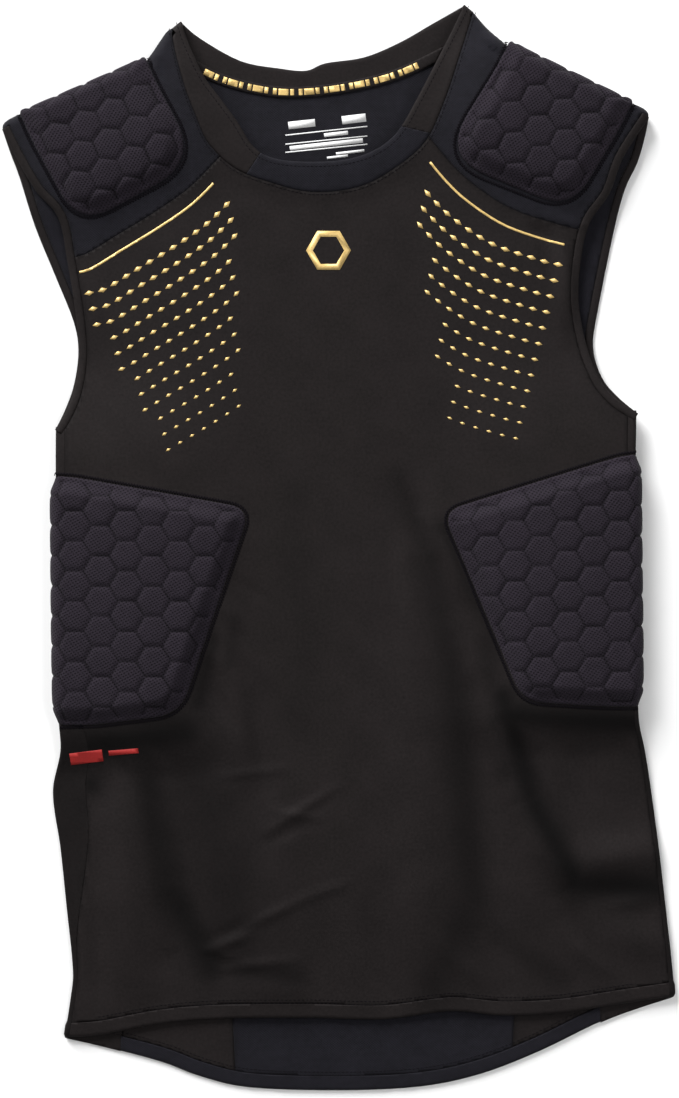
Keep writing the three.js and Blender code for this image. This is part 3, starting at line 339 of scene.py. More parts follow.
# Curves and outlines in plan
def spline(points, span_steps=SPAN_STEPS):
    """A smooth curve through its points, with the ends kept."""
    p = np.array(points, float)
    ends = np.vstack([p[:1], p, p[-1:]])
    t = (np.arange(span_steps) / span_steps)[:, None]
    out = []
    for before, a, b, after in zip(ends, ends[1:], ends[2:], ends[3:]):
        v0, v1 = (b - before) / 2, (after - a) / 2
        out.append((2 * a - 2 * b + v0 + v1) * t**3 + (3 * b - 3 * a - 2 * v0 - v1) * t**2 + v0 * t + a)
    return np.vstack([*out, p[-1:]])


def edge(name):
    return spline(EDGES[name])


def tangents(points):
    along = np.gradient(points, axis=0)
    return along / np.linalg.norm(along, axis=1, keepdims=True)


def moved_left(points, distance):
    """An open curve moved to its left, or to its right by a negative distance."""
    along = tangents(points)
    return points + np.column_stack([-along[:, 1], along[:, 0]]) * np.asarray(distance).reshape(-1, 1)


def strip(points, width):
    return np.vstack([points, moved_left(points, width)[::-1]])


def spaced(loop, least=LEAST_EDGE):
    """A loop without points that fall on each other."""
    keep = [loop[0]]
    for point in loop[1:]:
        if np.linalg.norm(point - keep[-1]) > least:
            keep.append(point)
    if np.linalg.norm(keep[-1] - keep[0]) <= least:
        keep.pop()
    return np.array(keep)


def grown(loop, distance):
    """A closed outline moved outwards, or inwards by a negative distance."""
    loop = spaced(loop)
    x, y = loop.T
    turn = np.sign(np.sum(x * np.roll(y, -1) - np.roll(x, -1) * y))
    one = loop - np.roll(loop, 1, axis=0)
    one /= np.linalg.norm(one, axis=1, keepdims=True)
    two = np.roll(one, -1, axis=0)
    normal = np.column_stack([one[:, 1] + two[:, 1], -one[:, 0] - two[:, 0]])
    normal /= np.linalg.norm(normal, axis=1, keepdims=True)
    miter = np.maximum(0.5, normal[:, 0] * one[:, 1] - normal[:, 1] * one[:, 0])
    return loop + normal * (turn * distance / miter)[:, None]


def rounded_outline(corners):
    """An outline through corners given as x, y and radius."""
    points = []
    for i, (x, y, radius) in enumerate(corners):
        here = np.array([x, y], float)
        if not radius:
            points.append(here)
            continue
        ends = []
        for other in (corners[i - 1], corners[(i + 1) % len(corners)]):
            way = np.array(other[:2], float) - here
            ends.append(here + way * radius / np.linalg.norm(way))
        for t in np.linspace(0, 1, CORNER_STEPS + 1):
            points.append((1 - t) ** 2 * ends[0] + 2 * t * (1 - t) * here + t**2 * ends[1])
    return np.array(points)


def divided(loop, size):
    """A closed outline with its long edges divided."""
    out = []
    for a, b in zip(loop, np.roll(loop, -1, axis=0)):
        parts = max(1, math.ceil(np.linalg.norm(b - a) / size))
        out += [a + (b - a) * k / parts for k in range(parts)]
    return np.array(out)


def nearest(x, y, points):
    """Distance to an open polyline, and the nearest point on it."""
    best = np.full(x.shape, np.inf)
    near = np.zeros((*x.shape, 2))
    for a, b in zip(points[:-1], points[1:]):
        way = b - a
        t = np.clip(((x - a[0]) * way[0] + (y - a[1]) * way[1]) / max(1e-9, way @ way), 0, 1)
        px, py = a[0] + t * way[0], a[1] + t * way[1]
        distance = np.hypot(x - px, y - py)
        closer = distance < best
        best = np.where(closer, distance, best)
        near[closer] = np.column_stack([px[closer], py[closer]])
    return best, near


def smoothstep(x, low, high):
    t = np.clip((x - low) / (high - low), 0, 1)
    return t * t * (3 - 2 * t)


# Heights of the two layers
def fold_x(side, y):
    """Where a side fold runs, at a level."""
    levels, values = np.array(SIDE_FOLDS["y"], float), np.array(SIDE_FOLDS[side], float)
    last = len(levels) - 1
    low, high = np.maximum(0, np.arange(last + 1) - 1), np.minimum(last, np.arange(last + 1) + 1)
    slope = (values[high] - values[low]) / (levels[low] - levels[high])
    y = np.asarray(y, float)
    i = np.clip(np.searchsorted(-levels, -y, side="right"), 1, last)
    span = levels[i - 1] - levels[i]
    t = np.clip((levels[i - 1] - y) / span, 0, 1)
    return ((2 * t**3 - 3 * t**2 + 1) * values[i - 1] + (t**3 - 2 * t**2 + t) * slope[i - 1] * span
            + (3 * t**2 - 2 * t**3) * values[i] + (t**3 - t**2) * slope[i] * span)


def side_lift(side, x, y, reach, fade):
    pad = SIDE_PADS[side]
    inward = (x - fold_x(side, y)) * INWARD[side]
    (low, foot), (head, high) = SIDE_SLOPE["below"], SIDE_SLOPE["above"]
    along = smoothstep(y, pad["bottom"] - low, pad["bottom"] - foot)
    along = along * (1 - smoothstep(y, pad["top"] + head, pad["top"] + high))
    return (1 - smoothstep(inward, reach, reach + fade)) * along


def shoulder_axes(side):
    """Outer end of a shoulder fold, the way along it and the way from it over the front."""
    pad = SHOULDER_PADS[side]
    origin = np.array(pad["outer"], float)
    along = np.array(pad["inner"], float) - origin
    along /= np.linalg.norm(along)
    away = np.array([along[1], -along[0]]) * INWARD[side]
    return origin, along, away


def shoulder_place(side, x, y):
    origin, along, away = shoulder_axes(side)
    return ((x - origin[0]) * along[0] + (y - origin[1]) * along[1],
            (x - origin[0]) * away[0] + (y - origin[1]) * away[1])


def shoulder_lift(side, x, y, reach, fade):
    a, b = shoulder_place(side, x, y)
    start, end = SHOULDER_PADS[side]["length"]
    (far, near), (close, wide) = SHOULDER_SLOPE["before"], SHOULDER_SLOPE["after"]
    lengthwise = smoothstep(a, start - far, start - near) * (1 - smoothstep(a, end + close, end + wide))
    return lengthwise * (1 - smoothstep(b, reach, reach + fade))


def lifts(x, y, layer):
    """How far the side pads and the shoulder pads lift the cloth round them, from 0 to 1."""
    side = sum(side_lift(s, x, y, *SIDE_SLOPE[layer]) for s in INWARD)
    shoulder = sum(shoulder_lift(s, x, y, *SHOULDER_SLOPE[layer]) for s in INWARD)
    return side, shoulder


def back_top(x, y):
    """Upper face of the back layer."""
    side, shoulder = lifts(x, y, "back")
    return CLOTH + (SIDE_PAD["wall"] - CLOTH) * side + (SHOULDER_PAD["wall"] - CLOTH) * shoulder


def back_under(x, y):
    return back_top(x, y) - CLOTH


def crease_height(x, y, rows):
    height = np.zeros(np.shape(x))
    for x1, y1, x2, y2, width, rise in rows:
        dx, dy = x2 - x1, y2 - y1
        t = np.clip(((x - x1) * dx + (y - y1) * dy) / (dx * dx + dy * dy), 0, 1)
        distance = np.hypot(x - x1 - t * dx, y - y1 - t * dy) / width
        height = height + rise * np.exp(-distance**2) * (FOLD_ENDS + (1 - FOLD_ENDS) * np.sin(np.pi * t))
    return height


def painted_zone_shade(x, y):
    """Painted shade on the front's cloth: how much less light it is given, from 0 to 1."""
    depth = np.zeros(np.shape(x))
    for x1, y1, x2, y2, width, strength in PAINTED_SHADE_ZONES:
        distance = nearest(x, y, np.array([(x1, y1), (x2, y2)], float))[0] / width
        depth = np.maximum(depth, strength * np.exp(-distance**2))
    return depth


NECK_EDGE = spline([(row[0], row[1]) for row in NECKBAND], 2)


def front_under(x, y):
    """Under face of the front layer."""
    side, shoulder = lifts(x, y, "front")
    loose = smoothstep(y, LOOSE["low"], LOOSE["high"])
    loose = loose * (1 - smoothstep(np.abs(x - LOOSE["middle"]), LOOSE["inner"], LOOSE["outer"]))
    neck = 1 - smoothstep(nearest(x, y, NECK_EDGE)[0], NECK_EDGE_WIDTH, NECK_REACH)
    neck_free = 1 - smoothstep(y, *NECK_FREE)
    folds = crease_height(x, y, FOLDS) + crease_height(x, y, CREASES)
    height = (FRONT_REST + LOOSE_RISE * loose + folds * (1 - side * PAD_STIFFNESS)
              + NECK_RISE * neck * neck_free
              + (SIDE_PAD["wall"] + PAD_CLEARANCE - FRONT_REST) * side
              + (SHOULDER_PAD["wall"] + PAD_CLEARANCE - FRONT_REST) * shoulder)
    return np.maximum(height, back_top(x, y) + LAYER_GAP)


# Outlines of the pieces
def along_side(side, start, end, distance):
    levels = np.linspace(start, end, max(2, int(abs(end - start) / 6)))
    inward = distance(levels) if callable(distance) else np.full(levels.shape, float(distance))
    return np.column_stack([fold_x(side, levels) + INWARD[side] * inward, levels])


def strip_width(side):
    """Width of the front strip of a side panel, as a smooth function of the level."""
    levels = SIDE_STRIPS["y"]
    curve = spline(list(zip(levels, SIDE_STRIPS[side])))[::-1]
    return lambda y: np.where(y > levels[0], NARROW_STRIP, np.interp(y, curve[:, 0], curve[:, 1]))


BAND_INNER = spline([(row[0], row[1]) for row in NECKBAND])
BAND_OUTER = spline([(row[2], row[3]) for row in NECKBAND])


def band_part(start, end):
    """The neckband between two of its sections."""
    first, last = round(start * SPAN_STEPS), round(end * SPAN_STEPS)
    return np.vstack([BAND_INNER[first:last + 1], BAND_OUTER[first:last + 1][::-1]])


def band_middle(start, end):
    first, last = round(start * SPAN_STEPS), round(end * SPAN_STEPS)
    return (BAND_INNER[first:last + 1] + BAND_OUTER[first:last + 1]) / 2


def above(points, y):
    return points[points[:, 1] > y]


def below(points, y):
    return points[points[:, 1] < y]


def between(points, low, high):
    return points[(points[:, 0] > low) & (points[:, 0] < high)]


LAST_ROW = len(NECKBAND) - 1
BINDINGS = {
    "front_left": strip(edge("armhole_front_left"), -BINDING_WIDTH),
    "back_left": strip(edge("armhole_back_left"), -BINDING_WIDTH),
    "front_right": strip(edge("armhole_front_right"), BINDING_WIDTH),
    "back_right": strip(edge("armhole_back_right"), BINDING_WIDTH),
}
HEMS = {"front": strip(edge("hem_front"), HEM_HEIGHT), "back": strip(edge("hem_back"), HEM_HEIGHT)}


def pad_plan(kind, side):
    """Turns a distance from a pad's fold and a place along it into x and y."""
    if kind == "side":
        return lambda u, y: np.column_stack([
            fold_x(side, y) + INWARD[side] * (u - SIDE_PAD["proud"]), y])
    origin, along, away = shoulder_axes(side)
    return lambda u, a: origin + np.outer(a, along) + np.outer(u, away)


def pad_shape(kind, side):
    """Corners of the front leg, start and end along the fold, and sizes."""
    if kind == "side":
        pad = SIDE_PADS[side]
        return pad["corners"], pad["top"], pad["bottom"], SIDE_PAD
    pad = SHOULDER_PADS[side]
    return pad["corners"], *pad["length"], SHOULDER_PAD


def pad_cutter(kind, side, layer):
    corners, start, end, sizes = pad_shape(kind, side)
    if layer == "back":
        corners = [(sizes["back_reach"], level, BACK_CORNER) for level in (start, end)]
    loop = divided(rounded_outline([(OUTSIDE, start, 0), *corners, (OUTSIDE, end, 0)]), 8)
    return grown(pad_plan(kind, side)(loop[:, 0], loop[:, 1]), -PAD_TUCK)


PADS = [(kind, side) for kind in ("side", "shoulder") for side in INWARD]


def below_pads(width):
    """Cutters for the cloth that goes round the side folds below the pads."""
    return [np.vstack([along_side(s, BELOW_HEM, SIDE_PADS[s]["bottom"], width(s)),
                       along_side(s, SIDE_PADS[s]["bottom"], BELOW_HEM, OUTSIDE)]) for s in INWARD]


def rolled(points, side):
    """A shoulder edge moved out by the cloth that goes round its fold."""
    radius = (front_under(points[:, 0], points[:, 1]) + CLOTH) / 2
    return moved_left(points, INWARD[side] * radius * (math.pi - 1))


def neckband_tip(side):
    """The short end of the neckband on a shoulder, from its outer to its inner corner."""
    x, y, outer_x, outer_y = NECKBAND[0 if side == "left" else -1]
    return np.array([(outer_x, outer_y), (x, y)], float)


def neckband_strip(side):
    """A side of the neckband, with the cloth that goes round the shoulder's fold at its tip."""
    tip = rolled(neckband_tip(side), side)
    if side == "left":
        return np.vstack([band_part(0, BAND_SPLITS[0]), tip])
    part = band_part(BAND_SPLITS[1], LAST_ROW)
    half = len(part) // 2
    return np.vstack([part[:half], tip[::-1], part[half:]])


def outlines():
    """The flat shape of each laid piece, as its outline and what is cut from it."""
    ends = SEAM_ENDS
    strips, side_backs = below_pads(strip_width), below_pads(SIDE_PANEL_BACK.get)
    underarms = [np.vstack([along_side(s, *UNDERARM_LEVELS, UNDERARM_LEG),
                            along_side(s, *UNDERARM_LEVELS[::-1], OUTSIDE)]) for s in INWARD]
    front_pads = [pad_cutter(kind, side, "front") for kind, side in PADS]
    back_pads = [pad_cutter(kind, side, "back") for kind, side in PADS]
    band = band_part(0, LAST_ROW)
    front_cut = [*front_pads, band, BINDINGS["front_left"], BINDINGS["front_right"], HEMS["front"],
                 *strips, *underarms]
    back_cut = [*back_pads, BINDINGS["back_left"], BINDINGS["back_right"], HEMS["back"],
                *side_backs, *underarms]
    yoke_left, yoke_right = edge("yoke_seam_left"), edge("yoke_seam_right")
    seam_left, seam_right = edge("back_seam_left"), edge("back_seam_right")
    hem_back = edge("hem_back")
    body = np.vstack([
        between(edge("hem_front"), *ends["hem_front"]),
        along_side("right", *ends["body_side"]["right"], strip_width("right")),
        below(edge("armhole_front_right"), ends["body_armhole"]["right"]),
        yoke_right, band_middle(*ends["body_neck"])[::-1], yoke_left[::-1],
        below(edge("armhole_front_left"), ends["body_armhole"]["left"])[::-1],
        along_side("left", *ends["body_side"]["left"], strip_width("left")),
    ])
    front_left = np.vstack([
        yoke_left, band_middle(0, ends["yoke_neck"]["left"])[::-1],
        rolled(edge("shoulder_left"), "left")[::-1],
        above(edge("armhole_front_left"), ends["yoke_armhole"]["left"])[::-1],
    ])
    front_right = np.vstack([
        above(edge("armhole_front_right"), ends["yoke_armhole"]["right"]),
        rolled(edge("shoulder_right"), "right"),
        band_middle(ends["yoke_neck"]["right"], LAST_ROW)[::-1], yoke_right[::-1],
    ])
    back = np.vstack([
        between(hem_back, *ends["hem_back"]), seam_right,
        above(edge("armhole_back_right"), ends["back_armhole"]),
        edge("shoulder_right"), edge("collar_seam")[::-1], edge("shoulder_left")[::-1],
        above(edge("armhole_back_left"), ends["back_armhole"])[::-1], seam_left[::-1],
    ])
    back_left = np.vstack([
        seam_left, below(edge("armhole_back_left"), ends["back_side_armhole"])[::-1],
        along_side("left", *ends["back_side_top"]["left"], UNDERARM_LEG),
        along_side("left", *ends["back_side_low"]["left"], SIDE_PANEL_BACK["left"]),
        between(hem_back, *ends["hem_back_left"]),
    ])
    back_right = np.vstack([
        between(hem_back, *ends["hem_back_right"]),
        along_side("right", *ends["back_side_low"]["right"], SIDE_PANEL_BACK["right"]),
        along_side("right", *ends["back_side_top"]["right"], UNDERARM_LEG),
        below(edge("armhole_back_right"), ends["back_side_armhole"]), seam_right[::-1],
    ])
    return {
        "front_body": (body, front_cut),
        "front_yoke_left": (front_left, front_cut),
        "front_yoke_right": (front_right, front_cut),
        "back_center": (back, back_cut),
        "back_side_left": (back_left, back_cut),
        "back_side_right": (back_right, back_cut),
    }


# Meshes
def to_row(co):
    """Millimetres on the laid shirt to metres in the frame."""
    out = np.array(co, float)
    out[:, :2] += ORIGIN_SHIFT
    return out * MM


def new_object(name, bm):
    mesh = bpy.data.meshes.new(name)
    bm.to_mesh(mesh)
    bm.free()
    obj = bpy.data.objects.new(name, mesh)
    bpy.context.scene.collection.objects.link(obj)
    return obj


def raise_copy(bm, faces, height, **options):
    """Extrudes faces straight up."""
    top = bmesh.ops.extrude_face_region(bm, geom=faces, **options)["geom"]
    verts = [v for v in top if isinstance(v, bmesh.types.BMVert)]
    bmesh.ops.translate(bm, vec=(0, 0, height), verts=verts)


def prism(name, outline, low, high):
    bm = bmesh.new()
    face = bm.faces.new([bm.verts.new((x, y, low)) for x, y in outline])
    raise_copy(bm, [face], high - low)
    bmesh.ops.recalc_face_normals(bm, faces=bm.faces[:])
    return new_object(name, bm)


def cut_face(outline, cutters):
    """A bmesh with one flat face: an outline less what its cutters take."""
    blank = prism("blank", grown(outline, -SEAM_GAP / 2), *BLANK_LEVELS)
    tools = [prism("cutter", grown(loop, SEAM_GAP), *CUTTER_LEVELS) for loop in cutters]
    for tool in tools:
        modifier = blank.modifiers.new("cut", "BOOLEAN")
        modifier.operation = "DIFFERENCE"
        modifier.solver = "EXACT"
        modifier.object = tool
    bm = bmesh.new()
    bm.from_object(blank, bpy.context.evaluated_depsgraph_get())
    for obj in (blank, *tools):
        bpy.data.meshes.remove(obj.data)
    bmesh.ops.delete(bm, geom=[f for f in bm.faces if f.normal.z < 0.9], context="FACES")
    inner = [e for e in bm.edges if len(e.link_faces) == 2]
    bmesh.ops.dissolve_edges(bm, edges=inner, use_verts=False)
    largest = max(bm.faces, key=lambda f: f.calc_area())
    bmesh.ops.delete(bm, geom=[f for f in bm.faces if f != largest], context="FACES")
    for vert in bm.verts:
        vert.co.z = 0
    return bm


def grid_cut(bm, cell_x, cell_y):
    """Cuts a flat face on lines at whole multiples of a cell."""
    for axis, cell in ((1, cell_y), (0, cell_x)):
        values = [v.co[axis] for v in bm.verts]
        normal = Vector((axis == 0, axis == 1, 0))
        for k in range(math.ceil(min(values) / cell), math.floor(max(values) / cell) + 1):
            geom = bm.verts[:] + bm.edges[:] + bm.faces[:]
            bmesh.ops.bisect_plane(bm, geom=geom, dist=0.01, plane_co=normal * (k * cell), plane_no=normal)


def thickened(name, bm):
    """Gives a flat mesh a second face at height 1, and keeps its flat coordinates as a UV map."""
    for face in bm.faces:
        if face.normal.z > 0:
            face.normal_flip()
    raise_copy(bm, bm.faces[:], 1, use_keep_orig=True)
    bmesh.ops.recalc_face_normals(bm, faces=bm.faces[:])
    layer = bm.loops.layers.uv.new("flat")
    for face in bm.faces:
        face.smooth = True
        for loop in face.loops:
            loop[layer].uv = (loop.vert.co.x * MM, loop.vert.co.y * MM)
    return new_object(name, bm)


def read_points(obj):
    co = np.empty(len(obj.data.vertices) * 3, np.float32)
    obj.data.vertices.foreach_get("co", co)
    return co.reshape(-1, 3).astype(float)


def write_points(obj, co):
    obj.data.vertices.foreach_set("co", to_row(co).astype(np.float32).ravel())
    obj.data.update()


def write_attribute(obj, name, values):
    layer = obj.data.attributes.new(name, "FLOAT", "POINT")
    layer.data.foreach_set("value", np.asarray(values, np.float32))


def finished(obj, material, nodes=()):
    """Gives a piece its material and its place in the frame."""
    obj.data.materials.append(material)
    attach(obj, "root")
    if nodes:
        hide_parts(*nodes)


def flat_area(bm):
    return sum(face.calc_area() for face in bm.faces) * MM * MM


def laid_cloth(name, outline, cutters, under, wall, cell, rims=None):
    """A laid piece: cut to its outline, laid over a layer's height and given its wall.

    A trim has rims, the edges that are rounded. Its painted shade attribute is up to 1 in the front's shaded
    zones and a half along a panel's seams.
    """
    bm = cut_face(outline, cutters) if cutters else flat_face(outline)
    area = flat_area(bm)
    grid_cut(bm, cell, cell)
    rim_points = boundary_points(bm)
    obj = thickened(name, bm)
    co = read_points(obj)
    x, y, upper = co.T.copy()
    inside = np.min([nearest(x, y, line)[0] for line in (rims or [rim_points])], axis=0)
    co[:, 2] = under(x, y) + wall * upper
    # painted shade from the front's shaded zones
    painted_shade = painted_zone_shade(x, y) if under is front_under else 0 * x
    # painted shade along a panel's seams
    if rims is None:
        painted_shade = np.maximum(painted_shade, SEAM_SHADE * (1 - smoothstep(inside, 0, SEAM_SHADE_WIDTH)))
    else:
        t = np.clip(1 - inside / TRIM_ROUNDING, 0, 1)
        shrink = wall / 2 * (1 - np.sqrt(np.maximum(0, 1 - t * t)))
        co[:, 2] += np.where(upper > 0.5, -shrink, shrink * UNDER_ROUNDING)
    write_attribute(obj, "painted_shade", painted_shade)
    return obj, co, area


def flat_face(outline):
    bm = bmesh.new()
    bm.faces.new([bm.verts.new((x, y, 0)) for x, y in grown(outline, -SEAM_GAP / 2)])
    return bm


def boundary_points(bm):
    """The rim of a flat mesh as one closed line."""
    before = next(e for e in bm.edges if e.is_boundary)
    start, here = before.verts
    loop = [start]
    while here != start:
        loop.append(here)
        before = next(e for e in here.link_edges if e.is_boundary and e != before)
        here = before.other_vert(here)
    return np.array([v.co[:2] for v in [*loop, start]])


# Quilted pads
def surface_from_plan(u, radius):
    """Distance along a pad's outer face from its fold, for a distance in plan."""
    size = np.abs(u)
    bent = radius * np.arccos(np.clip(1 - size / radius, -1, 1))
    return np.sign(u) * np.where(size < radius, bent, size - radius + radius * math.pi / 2)


def pad_outline(kind, side):
    """The flat outline of a pad, with the leg that rests at negative distances."""
    corners, start, end, sizes = pad_shape(kind, side)
    back = -sizes["back_reach"]
    behind = [(back, end, BACK_CORNER), (back, start, BACK_CORNER)]
    loop = divided(rounded_outline([(0, start, 0), *corners, (0, end, 0), *behind]), 3)
    return np.column_stack([surface_from_plan(loop[:, 0], sizes["wall"] + 1), loop[:, 1]])


def hexagons(s, y, centre):
    """Distance to the nearest quilting channel, and from the middle of the hexagon."""
    column, row = HEX_SIDE * 1.5, HEX_SIDE * math.sqrt(3)
    best = np.full(s.shape, np.inf)
    rim = np.zeros(s.shape)
    first = np.floor((s - centre[0]) / column)
    for i in (first, first + 1):
        shift = np.where(np.mod(i, 2) == 1, 0.5, 0.0)
        j = np.round((y - centre[1]) / row - shift)
        dx, dy = s - centre[0] - i * column, y - centre[1] - (j + shift) * row
        cos, sin = math.cos(math.pi / 6), math.sin(math.pi / 6)
        reach = np.maximum(np.abs(dy), np.maximum(np.abs(dx * cos + dy * sin), np.abs(dx * cos - dy * sin)))
        closer = reach < best
        best = np.where(closer, reach, best)
        rim = np.where(closer, np.hypot(dx, dy), rim)
    return HEX_SIDE * math.sqrt(3) / 2 - best, rim


def unevenness(s, y):
    """A slow variation from -1 to 1, so that no two hexagons are quite alike."""
    return np.sin(0.13 * s + 1.7 * np.sin(0.071 * y)) * np.sin(0.11 * y + 1.3 * np.sin(0.083 * s) + 0.8)


def quilt_height(s, y, inside, wall, channel, plain):
    """Height of a pad's outer face over its flat underside, and how far each point is from a channel."""
    centre = (float(s.min() + s.max()) / 2, float(y.min() + y.max()) / 2)
    gap, radius = hexagons(s, y, centre)
    uneven = unevenness(s, y)
    t = np.clip(gap / (channel * (1 + CHANNEL_VARIATION * uneven)), 0, 1)
    dome = 1 - (1 - t) ** CHANNEL_ROUNDING
    quilted = smoothstep(inside, PAD_BORDER_START, PAD_BORDER_WIDTH) * (1 - plain)
    depth = HEX_CROWN * (1 - HEX_VARIATION + HEX_VARIATION * uneven)
    fall = depth * (1 - dome) + HEX_BULGE * (radius / HEX_SIDE) ** 2
    lip = np.clip(inside / PAD_EDGE_RADIUS, 0, 1)
    border = PAD_EDGE + PAD_EDGE_RISE * np.sqrt(1 - (1 - lip) ** 2)
    base = border + (wall + PAD_PUFF - border) * smoothstep(inside, PAD_SLOPE_START, PAD_SLOPE)
    return base - fall * quilted, 1 - (1 - dome) * quilted


def bend(kind, side, s, along, h, wall, shift=0.0):
    """Bends flat cloth or foam round its fold: x, y and z for each point."""
    if kind == "side":
        proud = SIDE_PAD["proud"] if wall == SIDE_PAD["wall"] else 0.0
        start = fold_x(side, along) - proud * INWARD[side]
        plan = lambda u: (start + INWARD[side] * (u - shift), along)
    else:
        origin, forward, away = shoulder_axes(side)
        plan = lambda u: (origin[0] + forward[0] * along + away[0] * (u - shift),
                          origin[1] + forward[1] * along + away[1] * (u - shift))
    px, py = plan(np.full(s.shape, wall + 1.0))
    top, low = front_under(px, py), back_top(px, py)
    inner, middle = (top - low) / 2, (top + low) / 2
    outer = inner + wall
    past = np.abs(s) - outer * math.pi / 2
    angle = np.clip(s / outer, -math.pi / 2, math.pi / 2)
    inward = np.where(past > 0, outer + past, outer - (inner + h) * np.cos(angle))
    x, y = plan(inward)
    leg = np.where(s > 0, front_under(x, y) + h, np.maximum(0, back_top(x, y) - h))
    turn = np.where(s > 0, top + h, np.maximum(0, low - h))
    straight = turn + (leg - turn) * smoothstep(past, 0, LEG_BLEND)
    z = np.where(past > 0, straight, middle + (inner + h) * np.sin(angle))
    return np.column_stack([x, y, np.maximum(0, z)])


def make_pad(kind, side, sizes, material):
    wall = (SIDE_PAD if kind == "side" else SHOULDER_PAD)["wall"]
    bm = flat_face(pad_outline(kind, side))
    cell = sizes.pad_cell / MM
    grid_cut(bm, cell, cell)
    rim = boundary_points(bm)
    obj = thickened(f"quilted_{kind}_{side}", bm)
    s, along, upper = read_points(obj).T
    inside = nearest(s, along, rim)[0]
    plain = 1 - smoothstep(s, -wall - PLAIN_LEG[0], -wall + PLAIN_LEG[1])
    height, relief = quilt_height(s, along, inside, wall, sizes.channel_width / MM, plain)
    write_attribute(obj, "relief", np.where(upper > 0.5, relief, 1))
    _, start, end, shape = pad_shape(kind, side)
    from_end = np.minimum(np.abs(along - start), np.abs(along - end))
    reach = (wall - PAD_BORDER - shape["proud"]) * (1 - smoothstep(from_end, END_BORDER, END_REACH))
    shift = reach * (1 - smoothstep(np.abs(s), END_REACH, 3 * END_REACH))
    co = bend(kind, side, s, along, height * upper, wall, shift)
    write_points(obj, co)
    finished(obj, material, [f"{kind}_pad_{side}"])


# Cloth round the side folds
def fold_strip_outline(side, start, end, front, back):
    """Flat outline of a strip of cloth that goes round a side fold."""
    levels = np.linspace(start, end, max(2, int(abs(end - start) / 4)))
    x = fold_x(side, levels) + INWARD[side] * (CLOTH + 1)
    radius = (front_under(x, levels) - back_top(x, levels)) / 2 + CLOTH
    right = np.column_stack([surface_from_plan(front(levels), radius), levels])
    left = np.column_stack([-surface_from_plan(np.full(levels.shape, float(back)), radius), levels])
    return np.vstack([right, left[::-1]])


def hem_level(side, s):
    """Level of the lowest edge of a side panel, at a distance from its fold."""
    x = fold_x(side, CORNER_LEVEL[side]) + INWARD[side] * np.abs(s)
    front, back = (np.interp(x, *edge(name).T) for name in ("hem_front", "hem_back"))
    return np.where(s > 0, front, back)


def make_fold_strip(name, side, start, end, front, back, material, node):
    """A strip of cloth bent round a side fold, with its hem where it reaches that far."""
    outline = fold_strip_outline(side, start, end, front, back)
    if start < CORNER_LEVEL[side]:
        across = np.arange(-back - 8, front(np.array([CORNER_LEVEL[side]]))[0] + 8, 2.0)
        hem = np.column_stack([across, hem_level(side, across)])
        corners = np.array([[across[-1], start - 10], [across[0], start - 10]])
        bm = cut_face(outline, [np.vstack([hem, corners])])
    else:
        bm = flat_face(outline)
    area = flat_area(bm)
    grid_cut(bm, *FOLD_CELL)
    obj = thickened(name, bm)
    s, along, upper = read_points(obj).T
    over_hem = along - hem_level(side, s)
    hemmed = 1 - smoothstep(over_hem, HEM_HEIGHT + HEM_TURN[0], HEM_HEIGHT + HEM_TURN[1])
    rounded = np.sqrt(1 - (1 - np.clip(over_hem / HEM_ROUNDING, 0, 1)) ** 2)
    wall = (CLOTH + (HEM_WALL - CLOTH) * hemmed) * np.maximum(HEM_EDGE, rounded)
    # painted shade: the strip's front leg is darker below level 0
    write_attribute(obj, "painted_shade", np.where((s > 0) & (along < 0), STRIP_SHADE, 0))
    write_points(obj, bend("side", side, s, along, wall * upper, CLOTH))
    finished(obj, material, [node])


# Stitches and prints
def resampled(points, pitch):
    """Places at an even pitch along a line, and the way that it runs there."""
    length = np.concatenate([[0], np.cumsum(np.linalg.norm(np.diff(points, axis=0), axis=1))])
    at = np.arange(pitch / 2, length[-1], pitch)
    x, y = np.interp(at, length, points[:, 0]), np.interp(at, length, points[:, 1])
    places = np.column_stack([x, y])
    return places, tangents(places)


def stitch_row(points, top, pitch, size, turn=0.0, zigzag=0.0):
    """Places, directions and sizes of one row of stitches, half sunk into a surface."""
    places, along = resampled(np.asarray(points, float), pitch)
    angle = np.arctan2(along[:, 1], along[:, 0]) + turn
    angle = angle + zigzag * np.where(np.arange(len(angle)) % 2, 1, -1)
    z = top(places[:, 0], places[:, 1])
    return np.column_stack([places, z]), angle, np.tile(size, (len(angle), 1))


def make_stitches(name, rows, material):
    """Joins rows of stitches, each a small rounded grain, into one mesh."""
    bm = bmesh.new()
    bmesh.ops.create_icosphere(bm, subdivisions=1, radius=0.5)
    grain = np.array([v.co[:] for v in bm.verts])
    faces = np.array([[v.index for v in f.verts] for f in bm.faces])
    bm.free()
    place, angle, size = (np.concatenate(part) for part in zip(*rows))
    cos, sin = np.cos(angle)[:, None], np.sin(angle)[:, None]
    local = grain[None] * size[:, None]
    x = local[..., 0] * cos - local[..., 1] * sin
    y = local[..., 0] * sin + local[..., 1] * cos
    co = np.stack([x, y, local[..., 2]], axis=-1) + place[:, None]
    index = faces[None] + (np.arange(len(place)) * len(grain))[:, None, None]
    mesh = bpy.data.meshes.new(name)
    mesh.from_pydata(to_row(co.reshape(-1, 3)), [], index.reshape(-1, 3).tolist())
    mesh.shade_smooth()
    obj = bpy.data.objects.new(name, mesh)
    bpy.context.scene.collection.objects.link(obj)
    finished(obj, material)


def front_top(x, y):
    return front_under(x, y) + CLOTH


def band_top(x, y):
    return front_under(x, y) + BAND_WALL


def tape_under(x, y):
    return back_under(x, y) + BAND_WALL + SEAM_GAP


def tape_top(x, y):
    return tape_under(x, y) + TAPE_WALL


